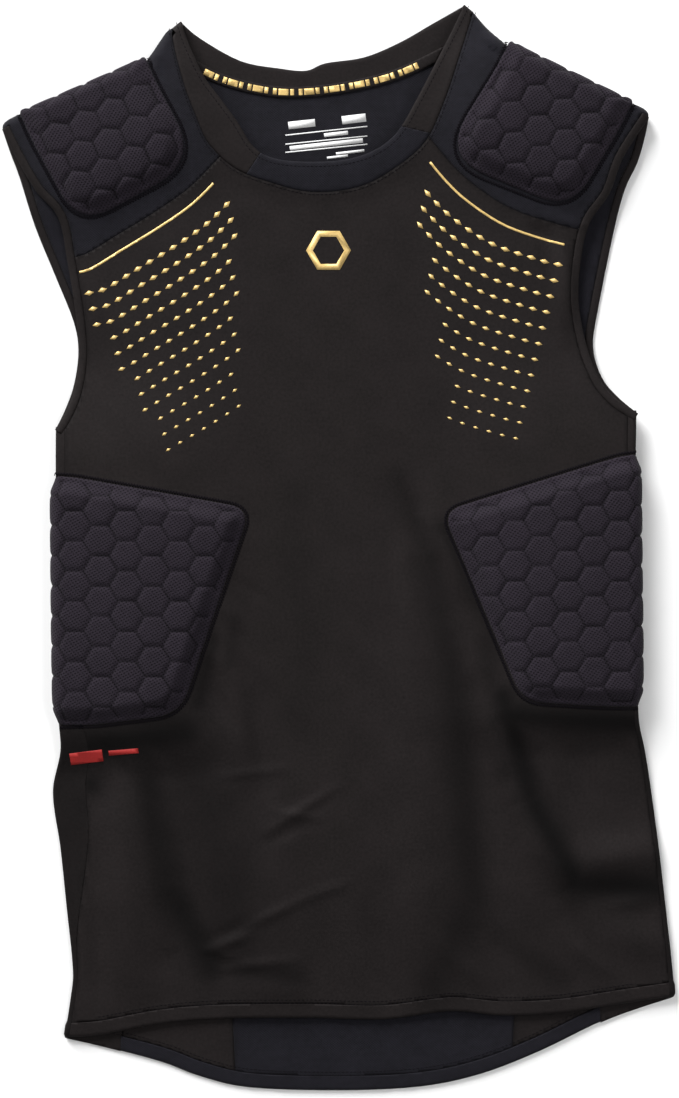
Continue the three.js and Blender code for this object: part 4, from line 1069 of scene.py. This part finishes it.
def make_print(name, loops, top, material, cell=PRINT_CELL):
    """Flat printed shapes that lie on a surface, joined into one mesh."""
    bm = bmesh.new()
    for loop in loops:
        bm.faces.new([bm.verts.new((x, y, 0)) for x, y in loop])
    for face in bm.faces:
        face.normal_update()
    if cell:
        grid_cut(bm, cell, cell)
    finish_print(name, bm, top, material)


def finish_print(name, bm, top, material):
    """Lays flat printed shapes on a surface, a little raised."""
    obj = thickened(name, bm)
    co = read_points(obj)
    co[:, 2] = top(co[:, 0], co[:, 1]) + PRINT_GAP + PRINT_HEIGHT * co[:, 2]
    write_points(obj, co)
    obj.data.materials.append(material)
    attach(obj, "root")


def polygon(centre, radius, sides, stretch=(1.0, 1.0), lean=0.0):
    angles = np.arange(sides) * 2 * math.pi / sides
    x, y = np.cos(angles) * radius * stretch[0], np.sin(angles) * radius * stretch[1]
    return np.column_stack([centre[0] + x * math.cos(lean) - y * math.sin(lean),
                            centre[1] + x * math.sin(lean) + y * math.cos(lean)])


def bar(start, end, width):
    """A straight bar with slanted ends, given by its middle line."""
    start, end = np.array(start, float), np.array(end, float)
    along = (end - start) / np.linalg.norm(end - start)
    side = np.array([-along[1], along[0]]) * width / 2
    return np.array([start - side, end - side, end + side, start + side])


# Materials
def principled(name, colour, roughness, **sockets):
    """A new material and its shader, with constants on the shader's own sockets."""
    material = bpy.data.materials.new(name)
    material.use_nodes = True
    shader = material.node_tree.nodes["Principled BSDF"]
    shader.inputs["Base Color"].default_value = (*colour, 1)
    shader.inputs["Roughness"].default_value = roughness
    for socket, value in sockets.items():
        shader.inputs[socket.replace("_", " ")].default_value = value
    return material, shader


class Nodes:
    """Short ways to add and link a material's nodes."""

    def __init__(self, material):
        self.tree = material.node_tree

    def add(self, kind, **values):
        node = self.tree.nodes.new(kind)
        for key, value in values.items():
            setattr(node, key, value)
        return node

    def link(self, source, target):
        self.tree.links.new(source, target)

    def flat(self, scale, turn=0.0):
        """The piece's flat pattern coordinates, in units of a size."""
        uv = self.add("ShaderNodeUVMap", uv_map="flat")
        mapping = self.add("ShaderNodeMapping")
        mapping.inputs["Scale"].default_value = scale
        mapping.inputs["Rotation"].default_value = (0, 0, turn)
        self.link(uv.outputs["UV"], mapping.inputs["Vector"])
        return mapping.outputs["Vector"]

    def math(self, operation, a, b=None):
        node = self.add("ShaderNodeMath", operation=operation)
        for socket, value in zip(node.inputs, (a, b)):
            if value is None:
                continue
            if isinstance(value, (int, float)):
                socket.default_value = value
            else:
                self.link(value, socket)
        return node.outputs["Value"]

    def noise(self, vector, scale, detail=2.0, roughness=0.5):
        node = self.add("ShaderNodeTexNoise")
        node.inputs["Scale"].default_value = scale
        node.inputs["Detail"].default_value = detail
        node.inputs["Roughness"].default_value = roughness
        self.link(vector, node.inputs["Vector"])
        return node.outputs["Fac"]

    def waves(self, vector):
        """Two crossed cosines: staggered peaks, one in each cell and one at each corner."""
        split = self.add("ShaderNodeSeparateXYZ")
        self.link(vector, split.inputs["Vector"])
        one = self.math("COSINE", self.math("MULTIPLY", split.outputs["X"], 2 * math.pi))
        two = self.math("COSINE", self.math("MULTIPLY", split.outputs["Y"], 2 * math.pi))
        return self.math("MULTIPLY", one, two)

    def step(self, value, low, high):
        node = self.add("ShaderNodeMapRange", interpolation_type="SMOOTHSTEP")
        node.inputs["From Min"].default_value = low
        node.inputs["From Max"].default_value = high
        self.link(value, node.inputs["Value"])
        return node.outputs["Result"]

    def ramp(self, value, low, high):
        """A value from 0 to 1 spread between two others."""
        node = self.add("ShaderNodeMapRange")
        node.inputs["To Min"].default_value = low
        node.inputs["To Max"].default_value = high
        self.link(value, node.inputs["Value"])
        return node.outputs["Result"]

    def tinted(self, shader, colour, factor):
        """The base colour, made darker or lighter by a factor that varies over the surface."""
        node = self.add("ShaderNodeVectorMath", operation="SCALE")
        node.inputs[0].default_value = colour
        self.link(factor, node.inputs["Scale"])
        self.link(node.outputs["Vector"], shader.inputs["Base Color"])

    def bump(self, shader, height, distance, strength=1.0):
        node = self.add("ShaderNodeBump")
        node.inputs["Distance"].default_value = distance
        node.inputs["Strength"].default_value = strength
        self.link(height, node.inputs["Height"])
        self.link(node.outputs["Normal"], shader.inputs["Normal"])


def satin_material(colours):
    """Smooth warp knit: fine upright wales with a soft sheen."""
    material, shader = principled(
        "satin_knit", colours.satin, 0.66, Specular_IOR_Level=0.07, Sheen_Weight=0.012,
        Sheen_Roughness=0.4)
    nodes = Nodes(material)
    knit = nodes.waves(nodes.flat((1300, 900, 1)))
    slow = nodes.noise(nodes.flat((1, 1, 1)), 38, 3)
    fine = nodes.noise(nodes.flat((1, 1, 1)), 520, 3, 0.6)
    shade = nodes.math("ADD", nodes.ramp(slow, 0.66, 1.26), nodes.ramp(fine, -0.55, 0.55))
    # painted shade: the base colour darkens in the front's shaded zones and along the seams
    painted_shade = nodes.add("ShaderNodeAttribute", attribute_name="painted_shade").outputs["Fac"]
    shade = nodes.math("MULTIPLY", shade, nodes.ramp(painted_shade, 1.06, 0.20))
    nodes.tinted(shader, colours.satin, shade)
    nodes.link(nodes.ramp(slow, 0.60, 0.76), shader.inputs["Roughness"])
    nodes.bump(shader, nodes.math("ADD", knit, nodes.math("MULTIPLY", fine, 1.4)), 0.00006, 0.6)
    return material


def mesh_material(colours):
    """Fine mesh knit: staggered pinholes and a mottled bluish face."""
    material, shader = principled(
        "mesh_knit", colours.mesh, 0.80, Specular_IOR_Level=0.08, Sheen_Weight=0.04,
        Sheen_Roughness=0.5)
    nodes = Nodes(material)
    holes = nodes.step(nodes.waves(nodes.flat((520, 620, 1))), 0.25, 0.85)
    mottle = nodes.noise(nodes.flat((1, 1, 1)), 260, 3, 0.6)
    slow = nodes.noise(nodes.flat((1, 1, 1)), 55, 3, 0.6)
    light = nodes.math("ADD", nodes.ramp(mottle, 0.45, 1.25), nodes.ramp(slow, -0.18, 0.52))
    shade = nodes.math("SUBTRACT", light, nodes.math("MULTIPLY", holes, 0.42))
    # painted shade: the base colour darkens in the shaded zones and along the seams
    painted_shade = nodes.add("ShaderNodeAttribute", attribute_name="painted_shade").outputs["Fac"]
    shade = nodes.math("MULTIPLY", shade, nodes.ramp(painted_shade, 1.0, 0.30))
    nodes.tinted(shader, colours.mesh, shade)
    nodes.bump(shader, nodes.math("SUBTRACT", mottle, holes), 0.00018, 0.8)
    return material


def pad_material(colours):
    """Matte knit over foam: dark pinholes in slanted rows, darker where the knit stretches into the
    channels, with painted shade down in the channels.
    """
    material, shader = principled(
        "pad_knit", colours.pad, 0.88, Specular_IOR_Level=0.08, Sheen_Weight=0.05,
        Sheen_Roughness=0.45)
    nodes = Nodes(material)
    holes = nodes.step(nodes.waves(nodes.flat((330, 400, 1), 0.22)), 0.05, 0.75)
    relief = nodes.add("ShaderNodeAttribute", attribute_name="relief").outputs["Fac"]
    broken = nodes.ramp(nodes.noise(nodes.flat((1, 1, 1)), 230, 1), 0.55, 1.25)
    channel = nodes.math("MULTIPLY", nodes.math("SUBTRACT", 1.0, nodes.step(relief, 0.02, 0.62)), broken)
    fuzz = nodes.noise(nodes.flat((1, 1, 1)), 750, 2)
    slow = nodes.noise(nodes.flat((1, 1, 1)), 60, 2)
    depth = nodes.math("ADD", 0.62, nodes.math("MULTIPLY", channel, 0.25))
    light = nodes.math("ADD", nodes.ramp(fuzz, 0.70, 1.30), nodes.ramp(slow, -0.10, 0.28))
    shade = nodes.math("SUBTRACT", light, nodes.math("MULTIPLY", holes, depth))
    # painted shade: the knit is darkened down in the channels, in broken dashes
    shade = nodes.math("MULTIPLY", shade, nodes.math("SUBTRACT", 1.0, nodes.math("MULTIPLY", channel, 0.62)))
    nodes.tinted(shader, colours.pad, shade)
    nodes.bump(shader, nodes.math("SUBTRACT", nodes.math("MULTIPLY", fuzz, 0.8), holes), 0.00045, 0.9)
    return material


def thread_material(colours):
    """Dark matte thread, a little lighter and darker along its twist."""
    material, shader = principled("thread", colours.thread, 0.8, Specular_IOR_Level=0.06)
    nodes = Nodes(material)
    place = nodes.add("ShaderNodeTexCoord").outputs["Object"]
    twist = nodes.noise(place, 1500, 1)
    nodes.tinted(shader, colours.thread, nodes.ramp(twist, 0.6, 1.4))
    return material


def print_material(name, colour, roughness, metallic=0.0):
    """A thin print with the knit showing through and slight wear."""
    material, shader = principled(name, colour, roughness, Specular_IOR_Level=0.35, Metallic=metallic)
    nodes = Nodes(material)
    wear = nodes.noise(nodes.flat((1, 1, 1)), 600, 3, 0.6)
    knit = nodes.waves(nodes.flat((1300, 900, 1)))
    shade = nodes.math("ADD", nodes.ramp(wear, 0.74, 1.20), nodes.math("MULTIPLY", knit, 0.06))
    nodes.tinted(shader, colour, shade)
    nodes.bump(shader, nodes.math("ADD", knit, wear), 0.00005, 0.6)
    return material


MAKERS = {
    "satin": satin_material,
    "mesh": mesh_material,
    "pad": pad_material,
    "thread": thread_material,
    "gold": lambda colours: print_material("gold_print", colours.gold, 0.42, 0.25),
    "white": lambda colours: print_material("white_print", colours.white, 0.6),
    "red": lambda colours: print_material("red_print", colours.red, 0.7),
}
MADE = {}


def finish_of(context, name):
    """A material, made once."""
    if name not in MADE:
        MADE[name] = MAKERS[name](context.scene.shirt_colours)
    return MADE[name]


# Operators
PANELS = {
    "front_body": ("satin", front_under), "front_yoke_left": ("mesh", front_under),
    "front_yoke_right": ("mesh", front_under), "back_center": ("mesh", back_under),
    "back_side_left": ("satin", back_under), "back_side_right": ("satin", back_under),
}


def roll_shoulder(co, wall, points, side):
    """Rolls the cloth beyond a shoulder edge round the fold to the back."""
    upper = co[:, 2] > front_under(co[:, 0], co[:, 1]) + wall / 2
    distance, near = nearest(co[:, 0], co[:, 1], points)
    along = tangents(points)
    index = np.argmin(np.linalg.norm(near[:, None] - points[None], axis=2), axis=1)
    normal = np.column_stack([-along[index, 1], along[index, 0]]) * INWARD[side]
    outward_by = ((co[:, :2] - near) * normal).sum(axis=1)
    middle = (front_under(near[:, 0], near[:, 1]) + wall) / 2
    angle = np.clip((outward_by + middle) / middle, 0, math.pi)
    radius = np.where(upper, middle, middle - wall)
    rolled_co = np.column_stack([near + normal * (radius * np.sin(angle) - middle)[:, None],
                                 middle + radius * np.cos(angle)])
    rolls = (outward_by > -middle) & (distance < ROLL_REACH * middle + ROLL_SPARE)
    co[rolls] = rolled_co[rolls]
    return co


class SHIRT_OT_panels(bpy.types.Operator):
    """Cuts the front, the yokes and the back panels and lays them out"""

    bl_idname = "shirt.panels"
    bl_label = "Panels"

    def execute(self, context):
        shapes = outlines()
        cell = context.scene.shirt_sizes.cloth_cell / MM
        for name, (finish, under) in PANELS.items():
            outline, cutters = shapes[name]
            obj, co, area = laid_cloth(f"cloth_{name}", outline, cutters, under, CLOTH, cell)
            if "yoke" in name:
                side = name.split("_")[-1]
                co = roll_shoulder(co, CLOTH, edge(f"shoulder_{side}"), side)
            write_points(obj, co)
            finished(obj, finish_of(context, finish), [name])
        return {"FINISHED"}


class SHIRT_OT_sides(bpy.types.Operator):
    """Bends the side panels and the underarm strips round the side folds"""

    bl_idname = "shirt.sides"
    bl_label = "Side panels"

    def execute(self, context):
        satin = finish_of(context, "satin")
        for side in INWARD:
            top = SIDE_PADS[side]["bottom"] + PAD_TUCK
            make_fold_strip(f"cloth_side_panel_{side}", side, BELOW_HEM, top, strip_width(side),
                            SIDE_PANEL_BACK[side], satin, f"side_panel_{side}")
            make_fold_strip(f"cloth_underarm_{side}", side, SIDE_PADS[side]["top"] - PAD_TUCK,
                            UNDERARM_TOP[side],
                            lambda y: np.full(y.shape, float(UNDERARM_LEG)), UNDERARM_LEG, satin,
                            f"underarm_{side}")
        return {"FINISHED"}


class SHIRT_OT_trims(bpy.types.Operator):
    """Makes the neckband, the collar, the neck tape, the armhole bindings and the hems"""

    bl_idname = "shirt.trims"
    bl_label = "Neckband, bindings and hems"

    def execute(self, context):
        cell = context.scene.shirt_sizes.trim_cell / MM
        collar = np.vstack([edge("collar_top"), edge("collar_seam")[::-1], edge("shoulder_left")[-1:]])
        tape = strip(edge("tape_top"), -TAPE_WIDTH)
        front_pads = [pad_cutter(kind, side, "front") for kind, side in PADS]
        back_pads = [pad_cutter(kind, side, "back") for kind, side in PADS]
        strips, backs = below_pads(strip_width), below_pads(SIDE_PANEL_BACK.get)
        band = [BAND_INNER, BAND_OUTER]
        trims = [
            ("neckband_left", neckband_strip("left"), [], front_under, BAND_WALL, "satin", band),
            ("neckband_front", band_part(*BAND_SPLITS), [], front_under, BAND_WALL, "mesh", band),
            ("neckband_right", neckband_strip("right"), [], front_under, BAND_WALL, "satin", band),
            ("back_collar", collar, [], back_under, BAND_WALL, "satin", [edge("collar_top")]),
            ("neck_tape", tape, [band_part(0, LAST_ROW)], tape_under, TAPE_WALL, "satin", []),
            ("hem_front", HEMS["front"], strips, front_under, HEM_WALL, "satin", [edge("hem_front")]),
            ("hem_back", HEMS["back"], backs, back_under, HEM_WALL, "mesh", [edge("hem_back")]),
        ]
        for key, loop in BINDINGS.items():
            pads, under = (front_pads, front_under) if key.startswith("front") else (back_pads, back_under)
            half = len(loop) // 2
            rims = [loop[:half], loop[half:]]
            trims.append((f"binding_{key}", loop, pads, under, BINDING_WALL, "satin", rims))
        for name, outline, cutters, under, wall, finish, rims in trims:
            obj, co, _ = laid_cloth(f"trim_{name}", outline, cutters, under, wall, cell, rims)
            side = name.split("_")[-1]
            if name.startswith("neckband") and side in INWARD:
                co = roll_shoulder(co, wall, neckband_tip(side), side)
            write_points(obj, co)
            finished(obj, finish_of(context, finish), [name])
        return {"FINISHED"}


class SHIRT_OT_pads(bpy.types.Operator):
    """Makes the four hexagon-quilted pads round their folds"""

    bl_idname = "shirt.pads"
    bl_label = "Quilted pads"

    def execute(self, context):
        for kind, side in PADS:
            make_pad(kind, side, context.scene.shirt_sizes, finish_of(context, "pad"))
        return {"FINISHED"}


# Stitches: length, width and height of one, then the pitch and the places of their rows
PAD_STITCH = (3.0, 0.85, 0.9)
PAD_STITCH_PITCH = 0.95
PAD_SEAM_OUT = 1.4
PAD_SEAM_START = 1.5
PAD_SEAM_CENTRE = -30           # past the fold, where the seam's points are seen in their order
YOKE_STITCH = (1.4, 0.35, 0.2)
YOKE_STITCH_PITCH = 1.3
RUN_LENGTH = 0.8                # share of the pitch that a running stitch covers
RUN_SIZE = (0.55, 0.4)
HEM_ROWS = (9.9, 12.2)
HEM_STITCHED = slice(5, -4)     # points of a hem between the two side panels
NECK_ROW_OUTER = -1.6
NECK_ROW_INNER = -3.2


def pad_front_line(kind, side, out):
    """The seam round a pad on the front, from fold to fold, moved out from its edge."""
    corners, start, end, _ = pad_shape(kind, side)
    loop = grown(divided(rounded_outline([(OUTSIDE, start, 0), *corners, (OUTSIDE, end, 0)]), 3), out)
    loop = loop[loop[:, 0] > PAD_SEAM_START]
    order = np.argsort(np.arctan2(loop[:, 1] - (start + end) / 2, loop[:, 0] - PAD_SEAM_CENTRE))
    return pad_plan(kind, side)(loop[order, 0], loop[order, 1])


class SHIRT_OT_stitches(bpy.types.Operator):
    """Sews the seams: dense rows round the pads, twin rows at the hems and topstitching"""

    bl_idname = "shirt.stitches"
    bl_label = "Stitches"

    def execute(self, context):
        thread = finish_of(context, "thread")
        pitch = context.scene.shirt_sizes.stitch_pitch / MM
        run = (pitch * RUN_LENGTH, *RUN_SIZE)
        pad_rows = [stitch_row(pad_front_line(kind, side, PAD_SEAM_OUT), front_top, PAD_STITCH_PITCH,
                               PAD_STITCH, turn=math.pi / 2, zigzag=0.3) for kind, side in PADS]
        make_stitches("seams_round_pads", pad_rows, thread)
        yoke_rows = [stitch_row(edge(f"yoke_seam_{side}"), front_top, YOKE_STITCH_PITCH,
                                YOKE_STITCH, turn=math.pi / 2, zigzag=0.4) for side in INWARD]
        make_stitches("seams_of_yokes", yoke_rows, thread)
        hem_rows = [stitch_row(moved_left(edge(name)[HEM_STITCHED], offset), top, pitch, run)
                    for name, top in (("hem_front", front_top), ("hem_back", back_top))
                    for offset in HEM_ROWS]
        make_stitches("stitches_of_hems", hem_rows, thread)
        band_rows = [stitch_row(moved_left(BAND_OUTER, NECK_ROW_OUTER), front_top, pitch, run),
                     stitch_row(moved_left(BAND_INNER, NECK_ROW_INNER), band_top, pitch, run)]
        make_stitches("stitches_of_neckband", band_rows, thread)
        return {"FINISHED"}


# Prints
CHEST_ROWS = 12
CHEST_PITCH = 9.2
CHEST_START = (12, 24)                        # from a yoke seam to the first row, inward and down
CHEST_STEP = (2.6, CHEST_PITCH * 1.15)        # from row to row
CHEST_ROWS_PER_SKIP = 3                       # every so many rows, one diamond fewer at each end
DIAMOND = 2.7
DIAMOND_SHRINK = 0.11
DIAMOND_STRETCH = (1.25, 0.62)
CHEST_LINE = {"inward": 3, "down": 11, "width": 1.5, "points": slice(3, -2)}
TAPE_PRINT = {"pitch": 5.6, "long": 3.4, "short": 1.3, "height": 4.2, "points": slice(3, -3)}
CHEST_MARK = (-7.0, 198.0)
CHEST_MARK_RADII = (15.0, 10.5)
LABEL_RULE_WIDTH = 0.8
LABEL_RULES = (((-36, 276), (19, 282)), ((-36, 270), (19, 275.5)), ((-36, 264.5), (19, 270)))
LABEL_BARS = (
    ((-34, 282.5), (-16, 284.5), 5.0), ((2, 286), (18, 288), 5.5), ((-10, 276), (6, 277.8), 2.6),
    ((-33, 267.2), (16, 272.6), 3.0), ((-2, 263.6), (17, 265.8), 1.8), ((-8, 260.8), (6, 262.4), 1.6),
)
SIDE_BARS = (((-180, -142.5), (-158, -139.6), 8.0), ((-154, -138.2), (-134, -136.4), 3.4))


def chest_diamonds(side):
    """Rows of small diamonds below a yoke seam, smaller from row to row."""
    seam = edge(f"yoke_seam_{side}")
    shapes = []
    for row in range(CHEST_ROWS):
        line = seam + np.array([INWARD[side] * (CHEST_START[0] + row * CHEST_STEP[0]),
                                -CHEST_START[1] - row * CHEST_STEP[1]])
        places, along = resampled(line, CHEST_PITCH)
        skip = row // CHEST_ROWS_PER_SKIP
        size = DIAMOND - row * DIAMOND_SHRINK
        order = slice(skip, None) if side == "left" else slice(None, len(places) - skip)
        for place, way in zip(places[order][:-1 - skip or None], along[order]):
            lean = math.atan2(way[1], way[0])
            shapes.append(polygon(place, size, 4, DIAMOND_STRETCH, lean))
    return shapes


def chest_line(side):
    """A slim line along a yoke seam."""
    shift = np.array([INWARD[side] * CHEST_LINE["inward"], -CHEST_LINE["down"]])
    return strip((edge(f"yoke_seam_{side}") + shift)[CHEST_LINE["points"]], CHEST_LINE["width"])


def tape_bars():
    """Bars along the middle of the neck tape, one long and then two short ones."""
    places, along = resampled(edge("tape_top")[TAPE_PRINT["points"]], TAPE_PRINT["pitch"])
    middle = places + np.column_stack([along[:, 1], -along[:, 0]]) * TAPE_WIDTH / 2
    halves = np.where(np.arange(len(places)) % 3, TAPE_PRINT["short"], TAPE_PRINT["long"])[:, None] * along
    return [bar(a, b, TAPE_PRINT["height"]) for a, b in zip(middle - halves, middle + halves)]


def make_ring(name, outer, inner, top, material, slot):
    """A printed outline between two loops with the same number of points."""
    bm = bmesh.new()
    rims = [[bm.verts.new((x, y, 0)) for x, y in loop] for loop in (outer, inner)]
    edges = [bm.edges.new((a, b)) for rim in rims for a, b in zip(rim, rim[1:] + rim[:1])]
    bmesh.ops.bridge_loops(bm, edges=edges)
    bmesh.ops.recalc_face_normals(bm, faces=bm.faces[:])
    finish_print(name, bm, top, material)


class SHIRT_OT_prints(bpy.types.Operator):
    """Lays the prints: the chest pattern, the neck tape's bars, the inner label and the side bars"""

    bl_idname = "shirt.prints"
    bl_label = "Prints"

    def execute(self, context):
        gold = finish_of(context, "gold")
        shapes = [shape for side in INWARD for shape in chest_diamonds(side)]
        make_print("print_chest_diamonds", shapes, front_top, gold, cell=0)
        lines = [chest_line(side) for side in INWARD]
        make_print("print_chest_lines", lines, front_top, gold)
        make_print("print_neck_tape", tape_bars(), tape_top, gold)
        ring = [polygon(CHEST_MARK, radius, 6) for radius in CHEST_MARK_RADII]
        make_ring("print_chest_mark", *ring, front_top, gold, "tape")
        label = [bar(*rule, LABEL_RULE_WIDTH) for rule in LABEL_RULES] + [bar(*item) for item in LABEL_BARS]
        make_print("print_label", label, back_top, finish_of(context, "white"), cell=0)
        side_bars = [bar(*item) for item in SIDE_BARS]
        make_print("print_side_bars", side_bars, front_top, finish_of(context, "red"))
        return {"FINISHED"}


# Stage, in metres and watts
FLOOR_HALF = 6.0
FLOOR_DROP = 0.0004             # below the shirt's underside, so that no two faces coincide
FLOOR_COLOUR = (0.86, 0.86, 0.86)
SURROUND = 0.19                 # strength of the even light from all sides
LIGHTS = {
    "key": {"place": (-2.4, 4.1, 2.0), "power": 620, "size": 2.8},
    "fill": {"place": (2.4, 0.4, 3.0), "power": 62, "size": 2.0},
    "low": {"place": (-0.8, -2.6, 3.0), "power": 24, "size": 2.0},
}
CAMERA = {"lens": 100, "sensor": 36, "x": 0.0005, "y": -0.0007}
VIEW_HEIGHT = 0.73566           # what the picture's height takes in
TOP_OF_CLOTH = 0.005            # level at which it does


class SHIRT_OT_stage(bpy.types.Operator):
    """Sets the pale floor, the soft lights and the camera straight above"""

    bl_idname = "shirt.stage"
    bl_label = "Floor, lights and camera"

    def execute(self, context):
        scene = context.scene
        bm = bmesh.new()
        bmesh.ops.create_grid(bm, x_segments=1, y_segments=1, size=FLOOR_HALF)
        floor = new_object("floor", bm)
        floor.location.z = -FLOOR_DROP
        material, _ = principled("floor_white", FLOOR_COLOUR, 0.9, Specular_IOR_Level=0.1)
        floor.data.materials.append(material)
        scene.world = bpy.data.worlds.new("studio")
        scene.world.use_nodes = True
        background = scene.world.node_tree.nodes["Background"]
        background.inputs["Color"].default_value = (1, 1, 1, 1)
        background.inputs["Strength"].default_value = SURROUND
        for name, values in LIGHTS.items():
            light = bpy.data.lights.new(name, "AREA")
            light.energy = values["power"]
            light.size = values["size"]
            lamp = bpy.data.objects.new(name, light)
            lamp.location = values["place"]
            lamp.rotation_euler = (-lamp.location).to_track_quat("-Z", "Y").to_euler()
            scene.collection.objects.link(lamp)
        camera = bpy.data.objects.new("camera", bpy.data.cameras.new("camera"))
        camera.data.lens = CAMERA["lens"]
        camera.data.sensor_width = CAMERA["sensor"]
        distance = VIEW_HEIGHT * CAMERA["lens"] / CAMERA["sensor"]
        camera.location = (CAMERA["x"], CAMERA["y"], distance + TOP_OF_CLOTH)
        scene.collection.objects.link(camera)
        scene.camera = camera
        scene.view_settings.view_transform = "Standard"
        return {"FINISHED"}


STEPS = (SHIRT_OT_panels, SHIRT_OT_sides, SHIRT_OT_trims, SHIRT_OT_pads, SHIRT_OT_stitches,
         SHIRT_OT_prints, SHIRT_OT_stage)


class SHIRT_PT_panel(bpy.types.Panel):
    """Lists the sizes, the colours and the steps"""

    bl_idname = "SHIRT_PT_panel"
    bl_label = "Compression shirt"
    bl_space_type = "VIEW_3D"
    bl_region_type = "UI"
    bl_category = "Shirt"

    def draw(self, context):
        for group in (context.scene.shirt_sizes, context.scene.shirt_colours):
            for name in group.bl_rna.properties.keys():
                if name not in ("rna_type", "name"):
                    self.layout.prop(group, name)
        for step in STEPS:
            self.layout.operator(step.bl_idname)


CLASSES = (ShirtSizes, ShirtColours, *STEPS, SHIRT_PT_panel)


def register():
    for item in CLASSES:
        bpy.utils.register_class(item)
    bpy.types.Scene.shirt_sizes = bpy.props.PointerProperty(type=ShirtSizes)
    bpy.types.Scene.shirt_colours = bpy.props.PointerProperty(type=ShirtColours)


def unregister():
    del bpy.types.Scene.shirt_colours
    del bpy.types.Scene.shirt_sizes
    for item in reversed(CLASSES):
        bpy.utils.unregister_class(item)


def main():
    register()
    bpy.ops.shirt.panels()
    bpy.ops.shirt.sides()
    bpy.ops.shirt.trims()
    bpy.ops.shirt.pads()
    bpy.ops.shirt.stitches()
    bpy.ops.shirt.prints()
    bpy.ops.shirt.stage()


if __name__ == "__main__":
    main()
